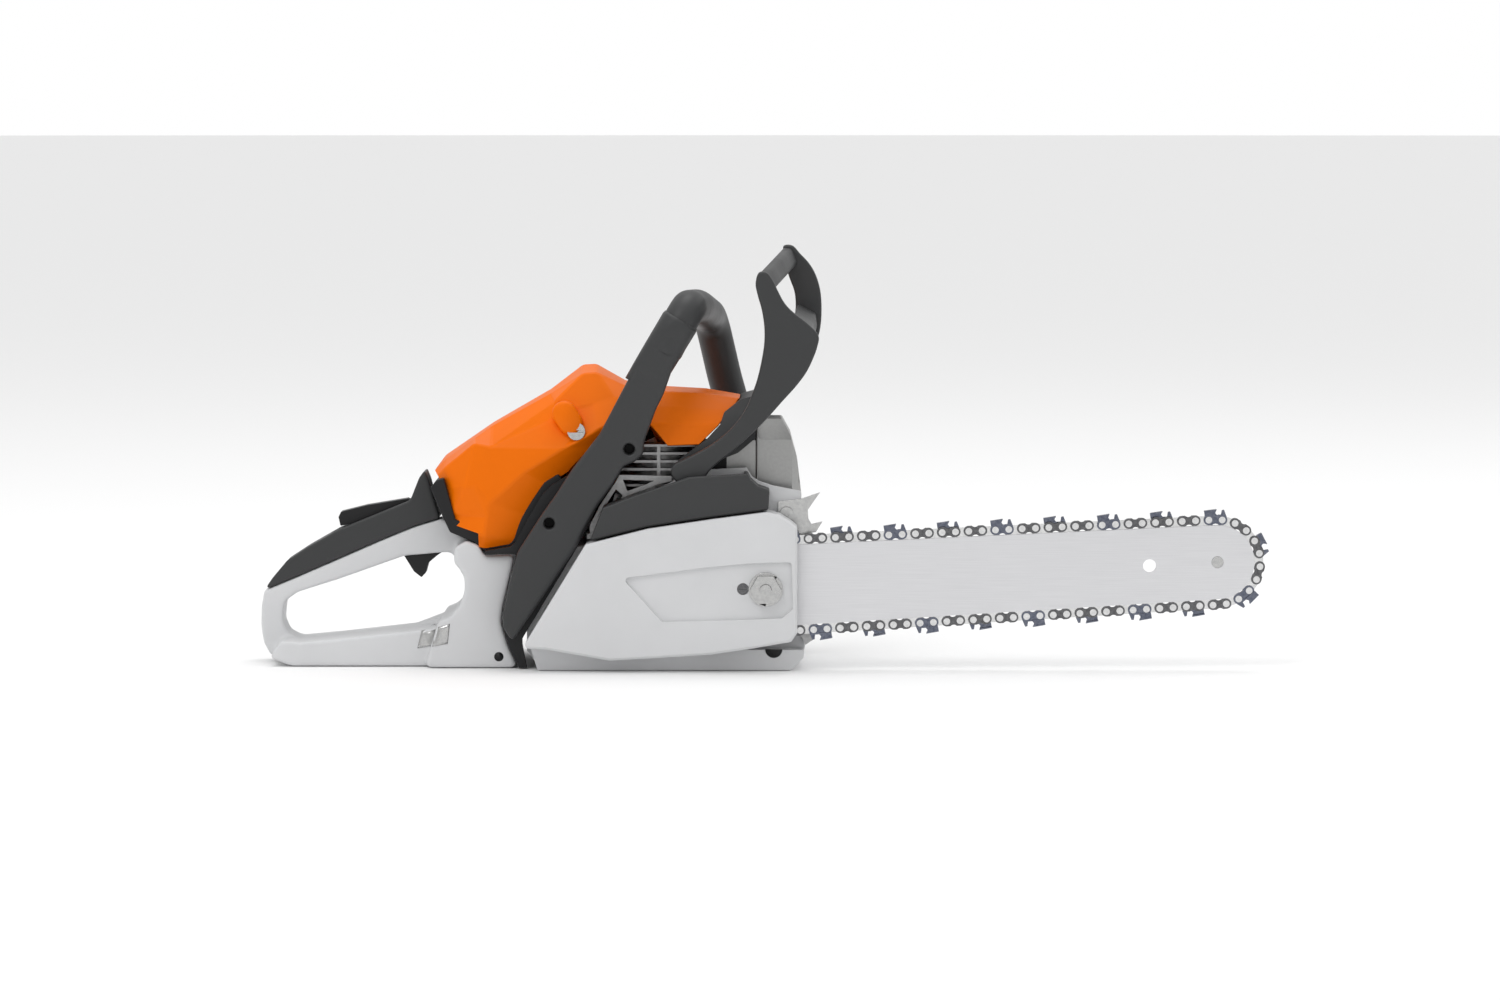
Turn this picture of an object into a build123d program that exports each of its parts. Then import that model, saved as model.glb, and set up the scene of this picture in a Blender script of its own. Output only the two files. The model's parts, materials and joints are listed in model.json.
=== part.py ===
from build123d import *
import math
import os

# Petrol chainsaw with a 35 cm guide bar, millimetres.
# +X points forward along the bar, +Y to the operator's left, +Z up.
# The origin lies on the ground plane, on the engine's centre plane, 6 mm behind the crankshaft axis.

# ---- driving dimensions -----------------------------------------------------
FIT = 0.15  # clearance between pieces that slide or turn
GAP = 0.4  # clearance between pieces that must only stay apart

CRANK_X = 6.0  # the crankshaft and cylinder axes lie this far forward of the origin
CRANK_Z = 54.0  # height of the crankshaft axis
STROKE = 28.0
BORE_R = 18.5
ROD_LENGTH = 48.0
WEB_R = 19.5
SHAFT_R = 7.0

BAR_Y = -66.0  # centre plane of the bar and chain
BAR_TILT = 3.1  # degrees that the bar points upward
BAR_THICKNESS = 4.0
STUD_R = 4.0
STUD_S = 73.4  # distance of the bar stud from the crankshaft, along the bar

PITCH = 9.32  # rivet to rivet
DRIVE_LINKS = 50
DRIVE_TEETH = 6
NOSE_TEETH = 10
RAIL_TO_RIVET = 3.9
DRIVE_GAUGE = 1.3
STRAP_THICKNESS = 1.1
RIVET_R = 1.6
SHOULDER_S = 56.0
SHOULDER_R = 32.3  # rivet line over the bar's shoulder

HOUSING_RIGHT = BAR_Y + 9.0
HOUSING_LEFT = 52.0
COVER_OUT = BAR_Y - 27.0
FAN_OUT = 92.0
WALL = 3.0
HANDLE_HALF = 16.0  # half width of the rear handle
TUBE_R = 12.5  # front handlebar
GUARD_THICKNESS = 12.0

FLYWHEEL_R = 45.0
DRUM_R = 31.0

# ---- small builders ---------------------------------------------------------


def rounded(points, radius, y):
    """A closed wire of (x, z) points on one Y plane, each corner rounded as far as its edges allow."""
    pieces = []
    count = len(points)
    cuts = []
    for i, (x, z) in enumerate(points):
        here = Vector(x, y, z)
        back = Vector(points[i - 1][0], y, points[i - 1][1]) - here
        fore = Vector(points[(i + 1) % count][0], y, points[(i + 1) % count][1]) - here
        half = math.radians(back.get_angle(fore)) / 2
        reach = min(radius / math.tan(half), 0.45 * back.length, 0.45 * fore.length)
        start, end = here + back.normalized() * reach, here + fore.normalized() * reach
        bow = reach * math.tan(half)
        to_middle = (back.normalized() + fore.normalized())
        if half > math.radians(88) or reach < 0.05:
            cuts.append((here, here, None))
        else:
            middle = here + to_middle.normalized() * (bow / math.sin(half) - bow)
            cuts.append((start, end, middle))
    for i, (start, end, middle) in enumerate(cuts):
        if middle is not None:
            pieces.append(ThreePointArc(start, middle, end))
        pieces.append(Line(end, cuts[(i + 1) % count][0]))
    return Wire(pieces)


def slab(points, y_low, y_high, radius=0.0):
    """A closed outline of (x, z) points as a solid between two Y planes, its corners rounded."""
    if radius:
        line = rounded(points, radius, y_low)
    else:
        line = Polyline(*[(x, y_low, z) for x, z in points], close=True)
    return extrude(make_face(line), amount=y_high - y_low, dir=(0, 1, 0))


def prism_x(points, x_low, x_high):
    """A closed outline of (y, z) points, between two X planes."""
    line = Polyline(*[(x_low, y, z) for y, z in points], close=True)
    return extrude(make_face(line), amount=x_high - x_low, dir=(1, 0, 0))


def prism_z(points, z_low, z_high):
    """A closed outline of (x, y) points, between two Z planes."""
    line = Polyline(*[(x, y, z_low) for x, y in points], close=True)
    return extrude(make_face(line), amount=z_high - z_low, dir=(0, 0, 1))


def block(x0, x1, y0, y1, z0, z1):
    return Pos((x0 + x1) / 2, (y0 + y1) / 2, (z0 + z1) / 2) * Box(x1 - x0, y1 - y0, z1 - z0)


def rod_y(x, z, y0, y1, r):
    return Pos(x, (y0 + y1) / 2, z) * Rot(X=90) * Cylinder(r, y1 - y0)


def rod_x(y, z, x0, x1, r):
    return Pos((x0 + x1) / 2, y, z) * Rot(Y=90) * Cylinder(r, x1 - x0)


def rod_z(x, y, z0, z1, r):
    return Pos(x, y, (z0 + z1) / 2) * Cylinder(r, z1 - z0)


def ring_y(x, z, y0, y1, outer, inner):
    return rod_y(x, z, y0, y1, outer) - rod_y(x, z, y0 - 1, y1 + 1, inner)


def hex_y(x, z, y0, y1, across_flats):
    prism = extrude(RegularPolygon(across_flats / 2, 6, major_radius=False), amount=y1 - y0)
    return Pos(x, y1, z) * Rot(X=90) * prism


def save(name, *solids):
    flat = [s for shape in solids for s in shape.solids()]
    export_step(Compound(children=flat) if len(flat) > 1 else flat[0], f"parts/{name}.step")


# ---- bar frame and chain path ----------------------------------------------

TILT = math.radians(BAR_TILT)
BAR = Plane(
    origin=(CRANK_X, BAR_Y, CRANK_Z),
    x_dir=(math.cos(TILT), 0, math.sin(TILT)),
    z_dir=(0, -1, 0),
)


def bar_point(s, h=0.0):
    """(x, z) of a point s along the bar from the crankshaft and h above its centre line."""
    return (
        CRANK_X + s * math.cos(TILT) - h * math.sin(TILT),
        CRANK_Z + s * math.sin(TILT) + h * math.cos(TILT),
    )


def wheel_radius(teeth):
    return PITCH / (2 * math.sin(math.pi / (2 * teeth)))


def tangent_angle(c0, r0, c1, r1):
    """Direction angle of the touch points on the upper common tangent of two circles on one axis."""
    return math.acos((r0 - r1) / (c1 - c0))


def upper_path(nose_s, inset=0.0):
    """The upper half of the loop, from behind the sprocket to the nose tip, as circles and touch angles."""
    circles = [
        (0.0, wheel_radius(DRIVE_TEETH) - inset),
        (SHOULDER_S, SHOULDER_R - inset),
        (nose_s, wheel_radius(NOSE_TEETH) - inset),
    ]
    turns = [tangent_angle(*circles[i], *circles[i + 1]) for i in range(2)]
    return circles, turns


def locate(nose_s, u):
    """The point (s, h) at arc length u along the upper run, which goes on round the nose."""
    circles, turns = upper_path(nose_s)
    starts = [math.pi, turns[0], turns[1]]
    ends = [turns[0], turns[1], -math.pi / 2]
    for i, (centre, radius) in enumerate(circles):
        arc = radius * (starts[i] - ends[i])
        if u <= arc or i == 2:
            a = starts[i] - min(u, arc) / radius
            return (centre + radius * math.cos(a), radius * math.sin(a))
        u -= arc
        here = (centre + radius * math.cos(ends[i]), radius * math.sin(ends[i]))
        next_centre, next_radius = circles[i + 1]
        there = (next_centre + next_radius * math.cos(ends[i]), next_radius * math.sin(ends[i]))
        run = math.dist(here, there)
        if u <= run:
            t = u / run
            return (here[0] + (there[0] - here[0]) * t, here[1] + (there[1] - here[1]) * t)
        u -= run


def march(nose_s):
    """Rivet centres on the upper run, each one pitch from the last, starting half a pitch behind the sprocket."""
    u = wheel_radius(DRIVE_TEETH) * math.pi / (2 * DRIVE_TEETH)
    rivets = [locate(nose_s, u)]
    while len(rivets) < DRIVE_LINKS:
        low, high = u, u + 1.2 * PITCH
        for _ in range(30):
            mid = (low + high) / 2
            if math.dist(locate(nose_s, mid), rivets[-1]) < PITCH:
                low = mid
            else:
                high = mid
        u = low
        rivets.append(locate(nose_s, u))
    return rivets


def settle_nose():
    """The nose distance at which the chain closes: the last upper rivet is half a pitch above the centre line."""
    low, high = SHOULDER_S + 60, SHOULDER_S + PITCH * DRIVE_LINKS
    for _ in range(40):
        mid = (low + high) / 2
        if march(mid)[-1][1] > PITCH / 2:
            high = mid
        else:
            low = mid
    return (low + high) / 2


NOSE_S = settle_nose()
UPPER = march(NOSE_S)
RIVETS = UPPER + [(s, -h) for s, h in reversed(UPPER)]


def along(i):
    """Location midway between rivets i and i + 1, local X along the run, local Y outward."""
    (s0, h0), (s1, h1) = RIVETS[i % len(RIVETS)], RIVETS[(i + 1) % len(RIVETS)]
    angle = math.degrees(math.atan2(h1 - h0, s1 - s0))
    return BAR * Pos((s0 + s1) / 2, (h0 + h1) / 2, 0) * Rot(Z=angle)


# ---- chain ------------------------------------------------------------------


def layer(sketch, low, high):
    return Pos(0, 0, low) * extrude(sketch, amount=high - low)


def rivet_holes(r):
    return Pos(-PITCH / 2, 0) * Circle(r) + Pos(PITCH / 2, 0) * Circle(r)


def drive_link():
    half = PITCH / 2
    body = make_face(
        Polyline(
            (-half - 2.0, 2.7), (half + 2.0, 2.7), (half + 3.2, 0.5), (half + 2.2, -3.0),
            (3.2, -8.2), (0.8, -9.0), (-1.8, -8.2), (-half - 2.2, -3.0), (-half - 3.2, 0.5),
            close=True,
        )
    )
    return layer(body - rivet_holes(RIVET_R + FIT), -DRIVE_GAUGE / 2, DRIVE_GAUGE / 2)


def strap_sketch():
    oval = SlotOverall(PITCH + 7.2, 7.2)
    waist = Pos(0, 5.6) * Circle(3.0) + Pos(0, -5.6) * Circle(3.0)
    return oval - waist - rivet_holes(RIVET_R + FIT)


STRAP_IN = DRIVE_GAUGE / 2 + 0.1
STRAP_OUT = STRAP_IN + STRAP_THICKNESS


def strap(side):
    low, high = sorted((side * STRAP_IN, side * STRAP_OUT))
    return layer(strap_sketch(), low, high)


def cutter(side):
    """Side plate with the depth gauge in front and the folded cutting tooth behind."""
    half = PITCH / 2
    low, high = sorted((side * STRAP_IN, side * STRAP_OUT))
    lower_waist = Pos(0, -5.6) * Circle(3.0)
    plate = layer(SlotOverall(PITCH + 7.2, 7.2) - lower_waist - rivet_holes(RIVET_R + FIT), low, high)
    gauge = make_face(
        Polyline((half - 1.0, 3.0), (half - 0.2, 6.9), (half + 1.4, 7.1), (half + 3.2, 2.0), close=True)
    )
    heel = make_face(
        Polyline((-half - 3.0, 2.6), (-half - 3.4, 6.6), (0.8, 7.6), (-0.2, 5.0), (1.2, 3.0), close=True)
    )
    out_low, out_high = sorted((side * STRAP_IN, side * 3.5))
    roof = make_face(Polyline((-half - 3.4, 5.7), (-half - 3.4, 6.6), (0.8, 7.6), (0.5, 6.6), close=True))
    roof_low, roof_high = sorted((side * -0.6, side * 3.5))
    return (
        plate
        + layer(gauge, low, high)
        + layer(heel, *sorted((side * 2.4, side * 3.5)))
        + layer(make_face(Polyline((-half - 3.0, 2.6), (-half - 3.0, 3.6), (1.0, 3.6), (1.2, 2.6),
            close=True)),
                out_low, out_high)
        + layer(roof, roof_low, roof_high)
    )


def chain_rivet():
    length = STRAP_OUT + 0.15
    head = 0.55
    shaft = Pos(0, 0, -length - head) * extrude(Circle(RIVET_R), amount=2 * (length + head))
    heads = [Pos(0, 0, z) * extrude(Circle(2.35), amount=head) for z in (length, -length - head)]
    return shaft + heads[0] + heads[1]


def make_chain():
    n = len(RIVETS)
    link = drive_link()
    save("chain_drive_links", *[along(i) * link for i in range(-1, n - 1, 2)])
    sides = {1: strap(1), -1: strap(-1)}
    teeth = {1: cutter(1), -1: cutter(-1)}
    straps, cutters = [], []
    for k in range(DRIVE_LINKS):
        where = along(2 * k)
        kind = {0: 1, 2: -1}.get((k + 2) % 4, 0)
        for side in (1, -1):
            if side == kind:
                cutters.append(where * teeth[side])
            else:
                straps.append(where * sides[side])
    save("chain_tie_straps", *straps)
    save("chain_cutters", *cutters)
    pin = chain_rivet()
    save("chain_rivets", *[BAR * Pos(s, h, 0) * pin for s, h in RIVETS])


# ---- guide bar --------------------------------------------------------------

TAIL_S = SHOULDER_S - 17.0
TAIL_R = 17.0
HANG_HOLE_S = NOSE_S - 47.5
HANG_HOLE_R = 4.6
BAR_SLOT = (STUD_S - 27.0, STUD_S + 13.0)
TENSION_HOLE = (STUD_S - 13.0, 14.0)


def bar_outline(inset=0.0):
    circles = [
        (TAIL_S, TAIL_R - inset),
        (SHOULDER_S, SHOULDER_R - RAIL_TO_RIVET - inset),
        (NOSE_S, wheel_radius(NOSE_TEETH) - RAIL_TO_RIVET - inset),
    ]
    turns = [tangent_angle(*circles[i], *circles[i + 1]) for i in range(2)]

    def on(i, a, sign=1):
        c, r = circles[i]
        return (c + r * math.cos(a), sign * r * math.sin(a))

    top = [on(0, turns[0]), on(1, turns[0]), on(1, turns[1]), on(2, turns[1])]
    mid = (turns[0] + turns[1]) / 2
    edges = [
        Line(top[0], top[1]),
        ThreePointArc(top[1], on(1, mid), top[2]),
        Line(top[2], top[3]),
        ThreePointArc(top[3], on(2, 0), on(2, turns[1], -1)),
        Line(on(2, turns[1], -1), on(1, turns[1], -1)),
        ThreePointArc(on(1, turns[1], -1), on(1, mid, -1), on(1, turns[0], -1)),
        Line(on(1, turns[0], -1), on(0, turns[0], -1)),
        ThreePointArc(on(0, turns[0], -1), (circles[0][0] - circles[0][1], 0), top[0]),
    ]
    return make_face(Wire(edges))


GROOVE_DEPTH = 7.0
GROOVE_WIDTH = DRIVE_GAUGE + 0.3


def make_bar():
    plate = layer(bar_outline(), -BAR_THICKNESS / 2, BAR_THICKNESS / 2)
    core = layer(bar_outline(GROOVE_DEPTH), -BAR_THICKNESS, BAR_THICKNESS)
    nose_room = Pos(NOSE_S, 0) * Cylinder(wheel_radius(NOSE_TEETH) - RAIL_TO_RIVET + 1, GROOVE_WIDTH)
    groove = layer(bar_outline(-1), -GROOVE_WIDTH / 2, GROOVE_WIDTH / 2) - core + nose_room
    slot_mid = (BAR_SLOT[0] + BAR_SLOT[1]) / 2
    cuts = [
        Pos(slot_mid, 0, -5) * extrude(SlotOverall(BAR_SLOT[1] - BAR_SLOT[0], 2 * STUD_R + 0.4), amount=10),
        Pos(HANG_HOLE_S, 0) * Cylinder(HANG_HOLE_R, 10),
        Pos(TENSION_HOLE[0], TENSION_HOLE[1]) * Cylinder(3.2, 10),
        Pos(TENSION_HOLE[0], -TENSION_HOLE[1]) * Cylinder(3.2, 10),
        Pos(NOSE_S, 0) * Cylinder(4.0 + FIT, 10),
    ]
    bar = plate - groove
    for cut in cuts:
        bar -= cut
    save("guide_bar", BAR * bar)


def tooth_wheel(teeth, core_r, tip_r, base_half, tip_half, low, high, phase):
    wheel = layer(Circle(core_r), low, high)
    tooth = make_face(
        Polyline((core_r - 2.5, -base_half), (tip_r, -tip_half), (tip_r, tip_half),
            (core_r - 2.5, base_half), close=True)
    )
    for k in range(teeth):
        wheel += Rot(Z=phase + 360 / teeth * k) * layer(tooth, low, high)
    return wheel


NOSE_HUB_R = 4.0


def make_nose():
    wheel = tooth_wheel(NOSE_TEETH, 19.4, 24.6, 2.0, 1.1, -0.6, 0.6, 180 / NOSE_TEETH)
    wheel -= Cylinder(9.0, 4)
    save("nose_sprocket", BAR * Pos(NOSE_S, 0, 0) * wheel)
    hub = Cylinder(NOSE_HUB_R, BAR_THICKNESS) + Cylinder(7.4, 1.2)
    needles = [Rot(Z=30 * k) * Pos(8.2, 0, 0) * Cylinder(0.7, 1.1) for k in range(12)]
    save("nose_bearing", *[BAR * Pos(NOSE_S, 0, 0) * piece for piece in (hub, *needles)])


# ---- bar fixing and chain tensioner ------------------------------------------

BAR_PAD_R = 12.0
NUT_FLATS = 19.0
NUT_HEIGHT = 8.0
COVER_PLATE = 5.0
PANEL_DEPTH = 2.5
STUD_X, STUD_Z = bar_point(STUD_S)
TENSIONER_X, TENSIONER_Z = bar_point(STUD_S - 15.7, 1.0)
TENSIONER_R = 4.0
FACE_RIGHT = BAR_Y - BAR_THICKNESS / 2
FACE_LEFT = BAR_Y + BAR_THICKNESS / 2


def make_bar_fixing():
    nut_y = COVER_OUT + PANEL_DEPTH
    stud = rod_y(STUD_X, STUD_Z, nut_y - NUT_HEIGHT - 3.0, HOUSING_RIGHT + 10, STUD_R)
    stud += rod_y(STUD_X, STUD_Z, HOUSING_RIGHT + 6, HOUSING_RIGHT + 10, STUD_R + 3)
    save("bar_stud", stud)
    nut = rod_y(STUD_X, STUD_Z, nut_y - 2, nut_y, NUT_FLATS / 2 + 2.4)
    nut += hex_y(STUD_X, STUD_Z, nut_y - NUT_HEIGHT, nut_y - 1.5, NUT_FLATS)
    save("bar_nut", nut - rod_y(STUD_X, STUD_Z, nut_y - 20, nut_y + 5, STUD_R))
    screw = rod_y(TENSIONER_X, TENSIONER_Z, nut_y + 1, FACE_RIGHT - 4, TENSIONER_R)
    slot = block(TENSIONER_X - 3, TENSIONER_X + 3, nut_y, nut_y + 2.5, TENSIONER_Z - 0.6, TENSIONER_Z + 0.6)
    save("tensioner_screw", screw - slot)


# ---- engine housing with oil tank ----------------------------------------------

HOUSING_REAR = -88.0
HOUSING_FRONT = 102.0
HOUSING_TOP = 90.0
BAY_RIGHT = HOUSING_RIGHT + 16.0
BAY_FRONT = 48.0
BAY_FLOOR = 8.0
OIL_CAP = (75.7, 46)
CAP_R = 13.0
GUARD_PIVOT = (30.0, 129.0)
PIVOT_R = 3.5
SKIRT_RIGHT = BAR_Y - 8.0
FENCE = 4.0
SPIKE_HOLES = [(94.0, 108.5), (94.0, 97.0)]
CLUTCH_RECESS_R = DRUM_R + 7.0
SHAFT_HOLE_R = 15.0


def make_engine_housing():
    right, left = HOUSING_RIGHT, HOUSING_LEFT
    shell = slab(
        [
            (HOUSING_REAR + 9, 0), (96.8, 0), (105.6, 8.6), (107, 16), (HOUSING_FRONT, 27),
            (HOUSING_FRONT, HOUSING_TOP), (HOUSING_REAR, HOUSING_TOP - 6), (HOUSING_REAR, 12),
        ],
        right, left, 3.0,
    )
    shell += slab(
        [(-80, 0), (96.8, 0), (105.6, 8.6), (106.5, 14), (60, 14.2), (41, 11.8), (6, 9.7), (-29, 7.8),
        (-74, 15.6), (-85, 16)],
        SKIRT_RIGHT, right + 5, 1.5,
    )
    fence = [
        (-40, 80), (-38, 108), (-12, 120), (12, 129.5), (26, 138.5), (66, 140.5), (70, 134), (75, 131),
        (84, 128),
        (104, 124), (104, 117), (102, 80),
    ]
    shell += slab(fence, right, right + FENCE, 0.8)
    shell += slab([(14, 80), (14, 132), (20, 139), (40, 139), (46, 132), (46, 80)], left - FENCE, left, 3.0)
    shell -= block(HOUSING_REAR + 5, BAY_FRONT, BAY_RIGHT, left - FENCE, BAY_FLOOR, HOUSING_TOP + 1)
    shell -= block(BAY_FRONT + 6, HOUSING_FRONT - 4, right + 10, left - FENCE, 6, HOUSING_TOP - 5)
    shell -= rod_y(*OIL_CAP, left - 10, left + 1, CAP_R)
    shell -= rod_y(CRANK_X, CRANK_Z, right - 1, BAY_RIGHT - 2, CLUTCH_RECESS_R)
    shell -= rod_y(CRANK_X, CRANK_Z, BAY_RIGHT - 4, BAY_RIGHT + 1, SHAFT_HOLE_R)
    shell -= rod_y(CRANK_X, CRANK_Z, left - FENCE - 1, left + 1, HUB_R + 4)
    shell += rod_y(STUD_X, STUD_Z, FACE_LEFT, right + 1, BAR_PAD_R)
    shell -= rod_y(STUD_X, STUD_Z, FACE_LEFT - 1, right + 11, STUD_R)
    shell -= rod_y(STUD_X, STUD_Z, right + 6, right + 11, STUD_R + 3)
    for y in (right, left - FENCE):
        shell -= rod_y(*GUARD_PIVOT, y - 1, y + FENCE + 1, PIVOT_R)
    for x, z in SPIKE_HOLES:
        shell -= rod_y(x, z, right - 1, right + FENCE + 1, SPIKE_SCREW_R)
    save("engine_housing", shell)


SPIKE_SCREW_R = 2.5
SPIKE_THICKNESS = 2.5


def make_bumper_spike():
    inner = HOUSING_RIGHT
    outer = inner - SPIKE_THICKNESS
    spike = slab(
        [
            (88, 90), (88, 117), (103.3, 118.7), (117.4, 123.4), (108.9, 111.2), (109.2, 104.9),
            (111.4, 101.2),
            (119.2, 103), (114.5, 95.5), (108.9, 94.6), (104, 90),
        ],
        outer, inner,
    )
    screws = []
    for x, z in SPIKE_HOLES:
        spike -= rod_y(x, z, outer - 1, inner + 1, SPIKE_SCREW_R)
        head = rod_y(x, z, outer - 4, outer, 4.7) - hex_y(x, z, outer - 5, outer - 2, 4.0)
        screws.append(head + rod_y(x, z, outer - 1, inner + FENCE + 4, SPIKE_SCREW_R))
    save("bumper_spike", spike)
    save("bumper_spike_screws", *screws)
    catcher = slab([(102.4, 27), (107.2, 16.4), (114, 21), (108, 28)], HOUSING_RIGHT - 4.2,
        HOUSING_RIGHT - 0.2)
    save("chain_catcher", catcher + slab([(102.1, 28), (103, 29), (108, 28), (107.3, 18)],
        HOUSING_RIGHT - 1, HOUSING_RIGHT + 8))


# ---- sprocket cover and brake cover ---------------------------------------------

COVER_OUTLINE = [
    (-45.8, 89.2), (-2.5, 100.1), (41.2, 106.6), (79.9, 111.7), (88.9, 109.8), (97.3, 104.4),
    (101.3, 101.1),
    (101.3, 27.6), (96.8, 21.3), (70, 16.7), (41.2, 12.5), (6.4, 10.3), (-29.3, 8.3), (-74, 16.2),
    (-89.9, 16.9),
]
COVER_ROOM = [
    (-42, 86), (-1.5, 96.3), (42, 103), (80, 108), (87, 106.3), (95, 102.1), (98, 100.6), (125, 100.6),
    (125, 5), (34, 5),
    (34, 15.8), (6, 14), (-29, 12), (-73, 19.8), (-83, 20.5),
]
COVER_PANEL = [(-20.4, 65.9), (41.2, 73.8), (70, 76.3), (97.3, 77), (98.3, 44.5), (90.8, 38), (55.6, 36.6),
    (7.4, 35.3)]


def make_sprocket_cover():
    inner = COVER_OUT + COVER_PLATE
    rim = HOUSING_RIGHT - GAP
    cover = slab(COVER_OUTLINE, COVER_OUT, rim, 2.5)
    cover = chamfer(cover.faces().sort_by(Axis.Y)[0].edges(), 1.6)
    cover -= slab(COVER_ROOM, inner, rim + 1, 1.0)
    cover -= slab(COVER_PANEL, COVER_OUT - 1, COVER_OUT + PANEL_DEPTH, 2.5)
    cover += rod_y(STUD_X, STUD_Z, inner - 1, FACE_RIGHT, BAR_PAD_R)
    cover += rod_y(TENSIONER_X, TENSIONER_Z, inner - 1, FACE_RIGHT - 3, TENSIONER_R + 2.5)
    cover -= rod_y(STUD_X, STUD_Z, COVER_OUT - 1, FACE_RIGHT + 1, STUD_R + FIT)
    cover -= rod_y(TENSIONER_X, TENSIONER_Z, COVER_OUT - 1, FACE_RIGHT + 1, TENSIONER_R + FIT)
    cover -= block(86, 120, HOUSING_RIGHT - 8, HOUSING_RIGHT + 1, 86, 125)
    save("sprocket_cover", cover)


BRAKE_COVER_OUT = COVER_OUT + 5.0
BRAKE_COVER_WALL = 2.5


def make_brake_cover():
    rim = HOUSING_RIGHT - GAP
    outline = [
        (-43, 91.4), (-34, 114.5), (-11.6, 123.2), (11.3, 131), (26.2, 136), (66.7, 138.4), (69, 133.9),
        (74, 129.3),
        (82, 126.5), (81.2, 113), (41.2, 107.9), (-2.6, 101.3),
    ]
    room = [
        (-38, 95.5), (-30.5, 111.8), (-10, 119.5), (2, 124), (4, 150), (64, 150), (64.5, 133), (72, 126.5),
        (79, 124.2),
        (78.5, 115.5), (41, 110.5), (-3, 104),
    ]
    cover = slab(outline, BRAKE_COVER_OUT, rim, 1.5)
    cover = chamfer(cover.faces().sort_by(Axis.Y)[0].edges(), 1.0)
    save("brake_cover", cover - slab(room, BRAKE_COVER_OUT + BRAKE_COVER_WALL, rim + 1, 0.8))


# ---- clutch --------------------------------------------------------------------

DRUM_Y = (HOUSING_RIGHT - 4.3, HOUSING_RIGHT + 12.0)
DRUM_WALL = 2.0
CLUTCH_Y = (DRUM_Y[0] + 3.5, DRUM_Y[1] - 1.5)
CRANK_END_R = 5.35
CRANK_AXIS = Pos(CRANK_X, 0, CRANK_Z)
SHOE_ARM = 6.0


def make_clutch():
    y0, y1 = DRUM_Y
    drum = rod_y(CRANK_X, CRANK_Z, y0, y1, DRUM_R)
    drum -= rod_y(CRANK_X, CRANK_Z, y0 + 2.4, y1 + 1, DRUM_R - DRUM_WALL)
    drum += BAR * tooth_wheel(DRIVE_TEETH, 7.4, 13.6, 2.4, 1.2, -3.5, 3.5, 180 / DRIVE_TEETH)
    drum += rod_y(CRANK_X, CRANK_Z, BAR_Y + 3, y0 + 0.5, 7.4)
    drum -= rod_y(CRANK_X, CRANK_Z, BAR_Y - 5, y1 + 1, CRANK_END_R + 2 * FIT)
    save("clutch_drum", drum)
    y0, y1 = CLUTCH_Y
    turns = [CRANK_AXIS * Rot(Y=120 * k) for k in range(3)]
    arm = block(-SHOE_ARM / 2, SHOE_ARM / 2, y0, y1, 9, 23)
    hub = rod_y(CRANK_X, CRANK_Z, y0, y1, 10.5)
    ring = ring_y(CRANK_X, CRANK_Z, y0, y1, DRUM_R - DRUM_WALL - 1.0, 10.5 + GAP)
    gap = block(-SHOE_ARM / 2 - GAP, SHOE_ARM / 2 + GAP, y0 - 1, y1 + 1, 0, 40)
    for turn in turns:
        hub += turn * arm
        ring -= turn * gap
    save("clutch_hub", hub - rod_y(CRANK_X, CRANK_Z, y0 - 1, y1 + 1, CRANK_END_R))
    save("clutch_shoes", ring)


# ---- crankshaft, rod and piston ---------------------------------------------------

WEB_GAP = 5.6
WEB_THICKNESS = 7.0
CASE_HALF = 27.0
BEARING_Y = 16.0
BEARING_WIDTH = 8.0
BEARING_R = 13.0
CRANKPIN_R = 6.0
PISTON_PIN_R = 4.5
PISTON_SKIRT = 12.0
PIN_Z = CRANK_Z + STROKE / 2 + ROD_LENGTH
PISTON_TOP = PIN_Z + 14.0
RING_HEIGHT = 1.3
RINGS_Z = (PISTON_TOP - 3.2, PISTON_TOP - 6.4)
HUB_R = 14.0
FLYWHEEL_Y = (HOUSING_LEFT - 6.0, HOUSING_LEFT + 14.0)


def make_crankshaft():
    halves = []
    for sign, end in ((-1, BAR_Y - 5.0), (1, FLYWHEEL_Y[1] + 1.5)):
        spans = ((WEB_GAP, WEB_GAP + WEB_THICKNESS, WEB_R), (WEB_GAP + 1, CASE_HALF + 2, SHAFT_R),
            (CASE_HALF, abs(end), CRANK_END_R))
        half = None
        for near, far, r in spans:
            y0, y1 = sorted((sign * near, sign * far))
            piece = rod_y(CRANK_X, CRANK_Z, y0, y1, r)
            half = piece if half is None else half + piece
        halves.append(half)
    save("crankshaft_halves", *halves)
    bearings = []
    for sign in (1, -1):
        ends = sorted((sign * BEARING_Y, sign * (BEARING_Y + BEARING_WIDTH)))
        bearings.append(ring_y(CRANK_X, CRANK_Z, *ends, BEARING_R, SHAFT_R + 0.05))
    save("crankshaft_bearings", *bearings)


def bore_rod(z0, z1, r):
    return rod_z(CRANK_X, 0, z0, z1, r)


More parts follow.
